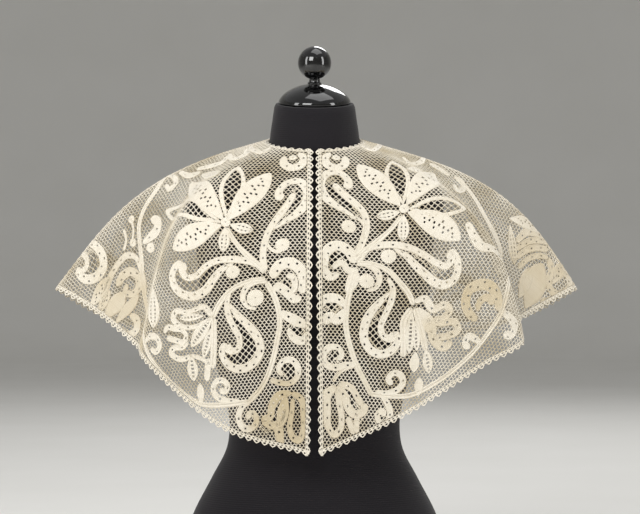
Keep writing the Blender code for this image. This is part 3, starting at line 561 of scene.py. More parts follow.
def smooth_curve(knots: Sequence[float], values: Any, at: np.ndarray) -> np.ndarray:
    """Reads a smooth curve through the knots, with its slopes from the neighbours.

    Args:
        knots: Where the values stand, in rising order.
        values: One value or point for each knot.
        at: Where the curve is read.

    Returns:
        The values there.
    """
    knots = np.asarray(knots, float)
    values = np.asarray(values, float)
    slopes = np.gradient(values, knots, axis=0)
    index = np.clip(np.searchsorted(knots, at) - 1, 0, len(knots) - 2)
    width = knots[index + 1] - knots[index]
    t = (np.asarray(at) - knots[index]) / width
    shape = (-1,) + (1,) * (values.ndim - 1)
    t, width = t.reshape(shape), width.reshape(shape)
    start, end = values[index], values[index + 1]
    leave, arrive = slopes[index] * width, slopes[index + 1] * width
    return (
        (2 * t**3 - 3 * t**2 + 1) * start
        + (t**3 - 2 * t**2 + t) * leave
        + (3 * t**2 - 2 * t**3) * end
        + (t**3 - t**2) * arrive
    )


def even_lengths(points: np.ndarray, count: int) -> np.ndarray:
    """Resamples a curve at even distances.

    Args:
        points: The curve's points, one row each.
        count: How many points to return.

    Returns:
        The evenly spaced points.
    """
    steps = np.linalg.norm(np.diff(points, axis=0), axis=1)
    travelled = np.concatenate([[0.0], np.cumsum(steps)])
    wanted = np.linspace(0.0, travelled[-1], count)
    return np.stack([np.interp(wanted, travelled, column) for column in points.T], axis=1)


def smooth_path(points: Sequence[tuple[float, float]], step: float) -> np.ndarray:
    """Draws a smooth path through a few points.

    Args:
        points: The points of the pricking that it passes.
        step: The distance between the points returned, about.

    Returns:
        Points at even distances along the path.
    """
    marks = np.asarray(points, float)
    reach = np.linalg.norm(np.diff(marks, axis=0), axis=1)
    knots = np.concatenate([[0.0], np.cumsum(reach)])
    fine = smooth_curve(knots, marks, np.linspace(0.0, knots[-1], 16 * len(marks)))
    return even_lengths(fine, max(4, round(knots[-1] / step) + 1))


def sideways(path: np.ndarray) -> np.ndarray:
    """The unit direction to the left of a path, at each of its points.

    Args:
        path: The path's points, one row each.

    Returns:
        One direction for each point.
    """
    ahead = np.gradient(path, axis=0)
    ahead /= np.linalg.norm(ahead, axis=1, keepdims=True)
    return np.stack([-ahead[:, 1], ahead[:, 0]], axis=1)


def inside(points: np.ndarray, outline: np.ndarray) -> np.ndarray:
    """Tells which points lie inside an outline.

    Args:
        points: Points of the pricking, one row each.
        outline: The closed outline's corners.

    Returns:
        True for each point inside.
    """
    x, y = points[:, 0, None], points[:, 1, None]
    ax, ay = outline.T
    bx, by = np.roll(outline, -1, axis=0).T
    spans = (ay > y) != (by > y)
    rise = np.where(by == ay, 1.0, by - ay)
    crossing = ax + (y - ay) * (bx - ax) / rise
    return (spans & (x < crossing)).sum(axis=1) % 2 == 1


class Drape:
    """One half of the collar as it hangs: turns places on the pricking into places on the form."""

    def __init__(self, stations: Sequence[Station], side: Side) -> None:
        """Lays the rings of the cape through its stations.

        Args:
            stations: The fall lines from centre front to centre back.
            side: The wearer's side.
        """
        self.side = side
        shares = [station.share for station in stations]
        lines = np.stack([self.fall_line(station) for station in stations])
        rings = smooth_curve(shares, lines, np.linspace(0.0, 1.0, 6 * RING_POINTS))
        self.grid = np.stack([even_lengths(rings[:, ring], RING_POINTS) for ring in range(RING_COUNT)], axis=1)
        self.lengths = np.linalg.norm(np.diff(self.grid, axis=1), axis=2).sum(axis=1)
        normals = np.cross(np.gradient(self.grid, axis=0), np.gradient(self.grid, axis=1)) * -side.value
        self.normals = normals / np.linalg.norm(normals, axis=2, keepdims=True)

    def neckline_point(self, share: float) -> np.ndarray:
        """A point of the neckline, share of the way from centre front to centre back.

        Args:
            share: How far round this half, from 0 to 1.

        Returns:
            The point, in millimetres.
        """
        angle = math.pi * share
        depth = -NECKLINE_HALF_DEPTH * math.cos(angle)
        rise = depth * math.tan(math.radians(NECKLINE_TILT))
        return np.array([self.side.value * NECKLINE_HALF_WIDTH * math.sin(angle), depth, NECKLINE_HEIGHT + rise])

    def fall_line(self, station: Station) -> np.ndarray:
        """The line that the lace follows at a station, from the neckline to the hem.

        Args:
            station: The station.

        Returns:
            Points at even distances along the line, in millimetres.
        """
        side = self.side.value
        start = self.neckline_point(station.share)
        if station.share == 0.0:
            start[0] = side * FRONT_HALF_GAP
        hem = np.array([side * station.across, -station.forward, station.height], float)
        way = hem - start
        reach = np.linalg.norm(way)
        out = way.copy()
        out[2] = 0.0
        out /= np.linalg.norm(out)
        down = np.array([0.0, 0.0, -1.0])
        leaving, arriving = math.radians(station.start_slope), math.radians(station.end_slope)
        first = start + station.start_pull * reach * (math.cos(leaving) * out + math.sin(leaving) * down)
        second = hem - station.end_pull * reach * (math.cos(arriving) * out + math.sin(arriving) * down)
        t = np.linspace(0.0, 1.0, 4 * RING_COUNT)[:, None]
        curve = (1 - t) ** 3 * start + 3 * (1 - t) ** 2 * t * first + 3 * (1 - t) * t**2 * second + t**3 * hem
        if station.share == 0.0:
            opening = (station.across - FRONT_HALF_GAP) * t[:, 0] ** FRONT_OPENING_POWER
            curve[:, 0] = side * (FRONT_HALF_GAP + opening)
        return even_lengths(curve, RING_COUNT)

    def hem_radius(self, share: Any) -> Any:
        """The radius of the hem on the pricking, share of the way round this half."""
        return NECK_RADIUS + np.interp(share, np.linspace(0.0, 1.0, RING_POINTS), self.lengths)

    def place(self, points: np.ndarray, heights: np.ndarray) -> np.ndarray:
        """Drapes points of the pricking.

        Args:
            points: Their x and y, one row each.
            heights: How far each stands out from the wall's inside.

        Returns:
            Their places on the form, in metres.
        """
        share = np.arctan2(points[:, 0], -points[:, 1]) / HALF_ANGLE
        column = share * (RING_POINTS - 1)
        length = self.hem_radius(share) - NECK_RADIUS
        row = (np.hypot(*points.T) - NECK_RADIUS) / length * (RING_COUNT - 1)
        i = np.clip(column.astype(int), 0, RING_POINTS - 2)
        j = np.clip(row.astype(int), 0, RING_COUNT - 2)
        u, v = (column - i)[:, None], (row - j)[:, None]
        corners = ((i, j, (1 - u) * (1 - v)), (i + 1, j, u * (1 - v)), (i, j + 1, (1 - u) * v), (i + 1, j + 1, u * v))
        point = sum(weight * self.grid[a, b] for a, b, weight in corners)
        normal = sum(weight * self.normals[a, b] for a, b, weight in corners)
        normal /= np.linalg.norm(normal, axis=1, keepdims=True)
        return (point + heights[:, None] * normal) * MM

    def hang(self, mesh: bpy.types.Mesh) -> None:
        """Drapes a mesh whose vertices hold x, y and height.

        Args:
            mesh: The flat mesh.
        """
        flat = np.empty(len(mesh.vertices) * 3)
        mesh.vertices.foreach_get("co", flat)
        flat = flat.reshape(-1, 3)
        mesh.vertices.foreach_set("co", self.place(flat[:, :2], flat[:, 2]).ravel())
        mesh.update()


@dataclass
class Pricking:
    """The flat drawing of one half, with its edges."""

    name: str
    drape: Drape
    margin: float = 1.4

    @property
    def back_scale(self) -> float:
        """How much shorter the cape is at the centre back than at the centre front."""
        return float(self.drape.lengths[-1] / self.drape.lengths[0])

    def at_back(self, points: np.ndarray) -> np.ndarray:
        """The same points turned over to the back of the half.

        Args:
            points: Points of the pricking, one row each.

        Returns:
            The points at the back.
        """
        angle = HALF_ANGLE - np.arctan2(points[:, 0], -points[:, 1])
        radius = NECK_RADIUS + (np.hypot(*points.T) - NECK_RADIUS) * self.back_scale
        return np.stack([radius * np.sin(angle), -radius * np.cos(angle)], axis=1)

    def farthest_share(self, points: np.ndarray) -> float:
        """How far round the half the points reach, from 0 at the centre front to 1 at the centre back."""
        return float(np.arctan2(points[:, 0], -points[:, 1]).max()) / HALF_ANGLE

    def kept_inside(self, points: np.ndarray, margin: float) -> np.ndarray:
        """Moves points in where they come too near an edge.

        Args:
            points: Points of the pricking.
            margin: How far inside the edgings they have to stay.

        Returns:
            The points, inside the net.
        """
        angle, radius = np.arctan2(points[:, 0], -points[:, 1]), np.maximum(np.hypot(*points.T), 1.0)
        angle = np.minimum(angle, HALF_ANGLE - 0.5 / radius)
        longest = self.drape.hem_radius(angle / HALF_ANGLE) - EDGING_WIDTH - margin
        radius = np.clip(radius, NECK_RADIUS + NECK_EDGING_WIDTH + margin, longest)
        x = np.maximum(radius * np.sin(angle), EDGING_WIDTH + margin)
        return np.stack([x, -radius * np.cos(angle)], axis=1)

    def hung(self, kind: str, mesh: bpy.types.Mesh, finish: bpy.types.Material) -> bpy.types.Object:
        """Hangs a flat mesh and makes it a piece of this half.

        Args:
            kind: What the piece is.
            mesh: Its flat mesh.
            finish: Its material.

        Returns:
            The piece.
        """
        self.drape.hang(mesh)
        return make_object(f"{kind}_{self.name}", mesh, finish)

    def reach(self) -> tuple[float, float]:
        """The width and length of the rectangle that the half is cut from, in metres.

        Returns:
            The width across and the length down the centre front.
        """
        angles = np.linspace(0.0, HALF_ANGLE, 400)
        radii = self.drape.hem_radius(angles / HALF_ANGLE)
        x, y = radii * np.sin(angles), -radii * np.cos(angles)
        return float(x.max()) * MM, float(max(y.max(), 0.0) - y.min()) * MM


def finished_mesh(builder: bmesh.types.BMesh, name: str) -> bpy.types.Mesh:
    """Makes a mesh of a finished bmesh, which is freed.

    Args:
        builder: The bmesh.
        name: The mesh's name.

    Returns:
        The mesh.
    """
    mesh = bpy.data.meshes.new(name)
    builder.to_mesh(mesh)
    builder.free()
    return mesh


def joined_mesh(parts: Iterable[bpy.types.Mesh], name: str) -> bpy.types.Mesh:
    """Joins meshes in their order, and removes them.

    Args:
        parts: The meshes to join.
        name: The joined mesh's name.

    Returns:
        The joined mesh.
    """
    whole = bmesh.new()
    for part in parts:
        whole.from_mesh(part)
        bpy.data.meshes.remove(part)
    return finished_mesh(whole, name)


def linear_colour(code: str) -> tuple[float, float, float, float]:
    """Turns an sRGB hex colour into linear values with full alpha.

    Args:
        code: The colour as #RRGGBB.

    Returns:
        Linear red, green and blue, and an alpha of 1.
    """
    channels = [int(code[place : place + 2], 16) / 255 for place in (1, 3, 5)]
    linear = [c / 12.92 if c <= 0.04045 else ((c + 0.055) / 1.055) ** 2.4 for c in channels]
    return (*linear, 1.0)


def set_inputs(tree: bpy.types.NodeTree, node: bpy.types.Node, inputs: dict[Any, Any]) -> None:
    """Sets or links the inputs of a node.

    Args:
        tree: The node tree.
        node: The node.
        inputs: A value or an output socket for each named or numbered input.
    """
    for name, value in inputs.items():
        if isinstance(value, bpy.types.NodeSocket):
            tree.links.new(value, node.inputs[name])
        else:
            node.inputs[name].default_value = value


def add_node(tree: bpy.types.NodeTree, kind: str, inputs: dict[Any, Any], **settings: Any) -> bpy.types.Node:
    """Adds a node with its settings and links.

    Args:
        tree: The node tree.
        kind: The node's type, without its ShaderNode prefix.
        inputs: A value or an output socket for each named or numbered input.
        **settings: The node's own properties.

    Returns:
        The node.
    """
    node = tree.nodes.new("ShaderNode" + kind)
    for name, value in settings.items():
        setattr(node, name, value)
    set_inputs(tree, node, inputs)
    return node


def start_material(name: str) -> tuple[bpy.types.Material, bpy.types.NodeTree, bpy.types.Node]:
    """A new material with its node tree and its shader.

    Args:
        name: The material's name.

    Returns:
        The material, its node tree and its shader.
    """
    material = bpy.data.materials.new(name)
    material.use_nodes = True
    return material, material.node_tree, material.node_tree.nodes["Principled BSDF"]


@dataclass(frozen=True)
class CottonLaceThread:
    """Ecru cotton thread of the net: matt and slightly hairy, so its lights are soft. It turns to the aged
    tone in random patches, and towards the back of the collar as painted shade on the layer behind.

    A cotton fibre is about 0.02 mm thick; its fuzz is drawn 0.5 mm coarse so that it shows.
    """

    colour: str = "#DDD5C4"
    # Aged tone of the random patches, also used as painted shade towards the back
    aged_and_back_shade: str = "#BCAF93"
    aged_patch_mm: float = 55.0
    aged_patches: tuple[float, float] = (0.42, 0.7)
    # Painted shade: how far the thread darkens towards the back
    shade_behind: float = 0.55
    fibre_mm: float = 0.5
    fibre_depth_mm: float = 0.2
    fibre_strength: float = 0.35
    roughness: float = 0.78
    sheen: float = 0.25
    sheen_roughness: float = 0.5

    def build(self) -> bpy.types.Material:
        """Makes the material.

        Returns:
            The material.
        """
        material, tree, shader = start_material("ecru_cotton_thread")
        place = add_node(tree, "TexCoord", {}).outputs["Object"]
        patches = add_node(tree, "TexNoise", {"Vector": place, "Scale": 1000 / self.aged_patch_mm, "Detail": 3.0})
        fibres = add_node(tree, "TexNoise", {"Vector": place, "Scale": 1000 / self.fibre_mm / 2, "Detail": 2.0})
        parts = add_node(tree, "SeparateXYZ", {"Vector": place})
        # Painted shade: the thread darkens towards the back of the collar, which lies in shade behind the front layer
        behind = add_node(tree, "MapRange", {"Value": parts.outputs["Y"], "From Min": 0.0, "From Max": BACK_SHADE_DEPTH,
                                             "To Max": self.shade_behind})
        low, high = self.aged_patches
        patchy = add_node(tree, "MapRange", {"Value": patches.outputs["Fac"], "From Min": low, "From Max": high})
        share = add_node(tree, "Math", {0: behind.outputs["Result"], 1: patchy.outputs["Result"]}, operation="ADD",
                         use_clamp=True)
        tint = add_node(
            tree, "Mix", {"Factor": share.outputs[0], 6: linear_colour(self.colour), 7: linear_colour(self.aged_and_back_shade)},
            data_type="RGBA",
        )
        bump = add_node(tree, "Bump", {"Height": fibres.outputs["Fac"], "Strength": self.fibre_strength,
                                       "Distance": self.fibre_depth_mm * MM})
        set_inputs(tree, shader, {
            "Base Color": tint.outputs[2], "Normal": bump.outputs["Normal"], "Roughness": self.roughness,
            "Sheen Weight": self.sheen, "Sheen Roughness": self.sheen_roughness,
        })
        return material


@dataclass(frozen=True)
class WovenClothwork:
    """Cloth stitch worked with bobbins: close parallel threads crossed by fine bars.

    The weave attribute holds the distance along and across a tape in millimetres, and how ochre the
    browner patches are. Real threads are 0.35 mm apart; they are drawn 1.1 mm apart so that they show.
    The grooves between threads and the rib lines are painted darker as painted shade, and towards the
    back of the collar the work is painted ochre as painted shade.
    """

    colour: str = "#F0EADD"
    # Painted shade: colour of the grooves between threads and of the rib lines
    groove: str = "#B5A88C"
    # Ochre of the browner patches and the random aged patches, also used as painted shade towards the back
    ochre: str = "#B7A57F"
    thread_mm: float = 1.1
    bar_mm: float = 1.5
    rib_mm: float = 8.5
    rib_line_mm: float = 0.7
    rib_floor: float = 0.45
    groove_shade_share: float = 0.75
    crown_height: float = 0.6
    aged_patch_mm: float = 40.0
    aged_patches: tuple[float, float] = (0.4, 0.75)
    aged_share: float = 0.22
    # Painted shade: how far the work turns ochre towards the back
    shade_behind: float = 0.32
    weave_depth_mm: float = 0.3
    weave_strength: float = 0.55
    roughness: float = 0.72
    sheen: float = 0.2
    sheen_roughness: float = 0.5

    def build(self) -> bpy.types.Material:
        """Makes the material.

        Returns:
            The material.
        """
        material, tree, shader = start_material("ecru_cotton_clothwork")
        weave = add_node(tree, "Attribute", {}, attribute_name="weave").outputs["Vector"]
        parts = add_node(tree, "SeparateXYZ", {"Vector": weave})
        place = add_node(tree, "TexCoord", {}).outputs["Object"]
        threads = self.waves(tree, parts.outputs["Y"], self.thread_mm)
        bars = self.waves(tree, parts.outputs["X"], self.bar_mm)
        cloth = add_node(tree, "Math", {0: threads, 1: bars}, operation="MULTIPLY").outputs[0]
        rib = add_node(tree, "Math", {0: parts.outputs["X"], 1: self.rib_mm / 2}, operation="PINGPONG").outputs[0]
        line = add_node(tree, "MapRange", {"Value": rib, "From Min": 0.0, "From Max": self.rib_line_mm,
                                           "To Min": self.rib_floor})
        worked = add_node(tree, "Math", {0: cloth, 1: line.outputs["Result"]}, operation="MULTIPLY").outputs[0]
        patches = add_node(tree, "TexNoise", {"Vector": place, "Scale": 1000 / self.aged_patch_mm, "Detail": 3.0})
        # Painted shade: grooves and rib lines darken towards the groove colour, while the crowns stay light
        depth = add_node(tree, "MapRange", {"Value": worked, "From Max": self.crown_height,
                                            "To Min": self.groove_shade_share, "To Max": 0.0})
        shade = add_node(
            tree, "Mix",
            {"Factor": depth.outputs["Result"], 6: linear_colour(self.colour), 7: linear_colour(self.groove)},
            data_type="RGBA",
        )
        low, high = self.aged_patches
        age = add_node(tree, "MapRange", {"Value": patches.outputs["Fac"], "From Min": low, "From Max": high,
                                          "To Max": self.aged_share})
        # Painted shade: the work turns ochre towards the back of the collar, which lies in shade behind the front
        # layer; worn adds this to the random aged patches
        spot = add_node(tree, "SeparateXYZ", {"Vector": place})
        behind = add_node(tree, "MapRange", {"Value": spot.outputs["Y"], "From Min": 0.0, "From Max": BACK_SHADE_DEPTH,
                                             "To Max": self.shade_behind})
        worn = add_node(tree, "Math", {0: age.outputs["Result"], 1: behind.outputs["Result"]}, operation="ADD")
        browner = add_node(tree, "Math", {0: worn.outputs[0], 1: parts.outputs["Z"]}, operation="ADD", use_clamp=True)
        tint = add_node(
            tree, "Mix", {"Factor": browner.outputs[0], 6: shade.outputs[2], 7: linear_colour(self.ochre)},
            data_type="RGBA",
        )
        bump = add_node(tree, "Bump", {"Height": worked, "Strength": self.weave_strength,
                                       "Distance": self.weave_depth_mm * MM})
        set_inputs(tree, shader, {
            "Base Color": tint.outputs[2], "Normal": bump.outputs["Normal"], "Roughness": self.roughness,
            "Sheen Weight": self.sheen, "Sheen Roughness": self.sheen_roughness,
        })
        return material

    def waves(self, tree: bpy.types.NodeTree, along: bpy.types.NodeSocket, spacing: float) -> bpy.types.NodeSocket:
        """Rounded threads at an even spacing: 0 in the grooves and 1 on the crowns.

        Args:
            tree: The node tree.
            along: The distance across the threads, in millimetres.
            spacing: The distance between two threads, in millimetres.

        Returns:
            The height of the threads.
        """
        turn = add_node(tree, "Math", {0: along, 1: math.pi / spacing}, operation="MULTIPLY").outputs[0]
        wave = add_node(tree, "Math", {0: turn}, operation="SINE").outputs[0]
        return add_node(tree, "Math", {0: wave}, operation="ABSOLUTE").outputs[0]


@dataclass(frozen=True)
class BlackJersey:
    """Knitted cotton jersey stretched over padding: near black, matt, with a faint bloom at its edges.

    Its courses lie 1.3 mm apart, which is the real size of a stretched stitch.
    """

    colour: str = "#121014"
    worn: str = "#1B181C"
    stitch_mm: float = 1.3
    stitch_depth_mm: float = 0.25
    stitch_strength: float = 0.4
    wear_per_metre: float = 12.0
    roughness: float = 0.92
    sheen: float = 0.12
    specular: float = 0.25

    def build(self) -> bpy.types.Material:
        """Makes the material.

        Returns:
            The material.
        """
        material, tree, shader = start_material("black_cotton_jersey_cover")
        place = add_node(tree, "TexCoord", {}).outputs["Object"]
        parts = add_node(tree, "SeparateXYZ", {"Vector": place})
        rows = add_node(tree, "Math", {0: parts.outputs["Z"], 1: math.pi / (self.stitch_mm * MM)},
                        operation="MULTIPLY").outputs[0]
        row_wave = add_node(tree, "Math", {0: rows}, operation="SINE").outputs[0]
        lint = add_node(tree, "TexNoise", {"Vector": place, "Scale": 1000 / self.stitch_mm, "Detail": 3.0})
        wear = add_node(tree, "TexNoise", {"Vector": place, "Scale": self.wear_per_metre, "Detail": 4.0})
        knit = add_node(tree, "Math", {0: row_wave, 1: lint.outputs["Fac"]}, operation="MULTIPLY").outputs[0]
        tint = add_node(
            tree, "Mix", {"Factor": wear.outputs["Fac"], 6: linear_colour(self.colour), 7: linear_colour(self.worn)},
            data_type="RGBA",
        )
        bump = add_node(tree, "Bump", {"Height": knit, "Strength": self.stitch_strength,
                                       "Distance": self.stitch_depth_mm * MM})
        set_inputs(tree, shader, {
            "Base Color": tint.outputs[2], "Normal": bump.outputs["Normal"], "Roughness": self.roughness,
            "Sheen Weight": self.sheen, "Specular IOR Level": self.specular,
        })
        return material


@dataclass(frozen=True)
class BlackLacquer:
    """Turned wood under polished black lacquer: mirror lights, with a slight ripple from the brush.

    The ripple is as wide as the marks of a 9 mm brush, and the haze is a film of dust.
    """

    colour: str = "#070708"
    ripple_mm: float = 9.0
    ripple_depth_mm: float = 0.5
    ripple_strength: float = 0.06
    dust_per_metre: float = 260.0
    roughness: float = 0.07
    roughness_less: float = 0.03
    roughness_more: float = 0.06
    coat: float = 0.6
    coat_roughness: float = 0.04

    def build(self) -> bpy.types.Material:
        """Makes the material.

        Returns:
            The material.
        """
        material, tree, shader = start_material("black_gloss_lacquer_on_wood")
        place = add_node(tree, "TexCoord", {}).outputs["Object"]
        ripple = add_node(tree, "TexNoise", {"Vector": place, "Scale": 1000 / self.ripple_mm, "Detail": 1.0})
        dust = add_node(tree, "TexNoise", {"Vector": place, "Scale": self.dust_per_metre, "Detail": 4.0})
        haze = add_node(tree, "MapRange", {"Value": dust.outputs["Fac"], "To Min": self.roughness - self.roughness_less,
                                           "To Max": self.roughness + self.roughness_more})
        bump = add_node(tree, "Bump", {"Height": ripple.outputs["Fac"], "Strength": self.ripple_strength,
                                       "Distance": self.ripple_depth_mm * MM})
        set_inputs(tree, shader, {
            "Base Color": linear_colour(self.colour), "Normal": bump.outputs["Normal"],
            "Roughness": haze.outputs["Result"], "Coat Weight": self.coat, "Coat Roughness": self.coat_roughness,
        })
        return material


@dataclass(frozen=True)
class StudioPaper:
    """Seamless backdrop paper: pale, matt and faintly mottled."""

    colour: str = "#E4E3E0"
    mottled: str = "#DDDCD8"
    mottle_per_metre: float = 3.0
    roughness: float = 0.95

    def build(self) -> bpy.types.Material:
        """Makes the material.

        Returns:
            The material.
        """
        material, tree, shader = start_material("pale_studio_paper")
        place = add_node(tree, "TexCoord", {}).outputs["Object"]
        mottle = add_node(tree, "TexNoise", {"Vector": place, "Scale": self.mottle_per_metre, "Detail": 2.0})
        shade = add_node(
            tree, "Mix",
            {"Factor": mottle.outputs["Fac"], 6: linear_colour(self.colour), 7: linear_colour(self.mottled)},
            data_type="RGBA",
        )
        set_inputs(tree, shader, {"Base Color": shade.outputs[2], "Roughness": self.roughness})
        return material


def make_object(name: str, mesh: bpy.types.Mesh, material: bpy.types.Material) -> bpy.types.Object:
    """Makes a smooth shaded object of a mesh and reports it.

    Args:
        name: The piece's name.
        mesh: Its finished mesh, in place.
        material: Its finish.

    Returns:
        The object.
    """
    mesh.name = name
    mesh.materials.append(material)
    mesh.shade_smooth()
    mesh.set_sharp_from_angle(angle=SHARP_ANGLE)
    made = bpy.data.objects.new(name, mesh)
    bpy.context.scene.collection.objects.link(made)
    triangles = sum(len(face.vertices) - 2 for face in mesh.polygons)
    LOG.info("%s: %d triangles", name, triangles)
    return made


@dataclass
class Net:
    """A net whose cells lie in staggered rows, as they come off the pins."""

    cell_width: float
    row_rise: float
    straight: float
    thread: float
    flatness: float
    wander: float
    knot: float = 0.0
    lift: float = 0.65

    def cells(self, low: np.ndarray, high: np.ndarray) -> tuple[np.ndarray, np.ndarray]:
        """Draws the cells that cover a rectangle.

        Args:
            low: Its lowest corner.
            high: Its highest corner.

        Returns:
            The shared corners of the cells, and the corners that each cell has.
        """
        columns = np.arange(math.floor(low[0] / self.cell_width), math.ceil(high[0] / self.cell_width) + 1)
        rows = np.arange(math.floor(low[1] / self.row_rise), math.ceil(high[1] / self.row_rise) + 1)
        across, up = np.meshgrid(columns, rows)
        centres = np.stack([(across + (up % 2) / 2) * self.cell_width, up * self.row_rise], axis=-1).reshape(-1, 2)
        half, side, tip = self.cell_width / 2, self.straight, self.row_rise - self.straight
        corners = [(0, -tip), (half, -side), (half, side), (0, tip), (-half, side), (-half, -side)]
        if side == 0.0:
            corners = [corners[0], corners[1], corners[3], corners[4]]
        spots = (centres[:, None, :] + np.array(corners)).reshape(-1, 2)
        _, first, shared = np.unique(np.round(spots * 100).astype(int), axis=0, return_index=True, return_inverse=True)
        return spots[first], shared.reshape(-1, len(corners))

    def build(self, corners: np.ndarray, cells: np.ndarray) -> bpy.types.Mesh:
        """Twists thread round the cells.

        Args:
            corners: The corners of all the cells.
            cells: The corners that each kept cell has.

        Returns:
            The flat net.
        """
        used, numbers = np.unique(cells, return_inverse=True)
        places = np.column_stack([corners[used], np.zeros(len(used))])
        flat = bpy.data.meshes.new("net")
        flat.from_pydata(places.tolist(), [], numbers.reshape(cells.shape).tolist())
        mesh = bmesh.new()
        mesh.from_mesh(flat)
        bmesh.ops.wireframe(
            mesh, faces=mesh.faces[:], thickness=self.thread, offset=0.0, use_replace=True, use_boundary=True,
            use_even_offset=False, use_crease=False, crease_weight=0.0, use_relative_offset=False, material_offset=0,
        )
        bmesh.ops.scale(mesh, vec=(1.0, 1.0, self.flatness), verts=mesh.verts)
        for place in places if self.knot else ():
            turn = Matrix.Translation(place) @ Matrix.Rotation(place[0], 4, "Z")
            bmesh.ops.create_icosphere(mesh, subdivisions=1, radius=self.knot, matrix=turn)
        bmesh.ops.translate(mesh, vec=(0.0, 0.0, self.lift), verts=mesh.verts)
        mesh.to_mesh(flat)
        mesh.free()
        return flat

    def wandered(self, corners: np.ndarray) -> np.ndarray:
        """The corners pulled a little out of line, as hand work is.

        Args:
            corners: The corners of all the cells.

        Returns:
            The same corners, moved.
        """
        drift = np.random.default_rng(SEED).normal(0.0, self.wander, corners.shape)
        x, y = corners.T
        across, first, second = SWAY_ACROSS
        along, third, fourth = SWAY_ALONG
        sway = np.stack([across * np.sin(y / first + x / second), along * np.sin(x / third - y / fourth)], axis=1)
        return corners + drift + sway


# The real ground has cells about 3.5 mm wide. They are drawn wider to keep each net under 200,000 triangles.
GROUND_NET = Net(cell_width=5.4, row_rise=3.5, straight=0.7, thread=1.4, flatness=1.2, wander=0.14)
FILLING_NET = Net(cell_width=8.0, row_rise=4.0, straight=0.0, thread=1.55, flatness=1.0, wander=0.2, knot=1.55)


class Band(NamedTuple):
    """A strip of clothwork between two edges of the pricking."""

    left: np.ndarray
    right: np.ndarray
    columns: tuple[float, ...]
    holes: tuple[tuple[int, int], ...]
    closed: bool
    groove: bool
    rim: float


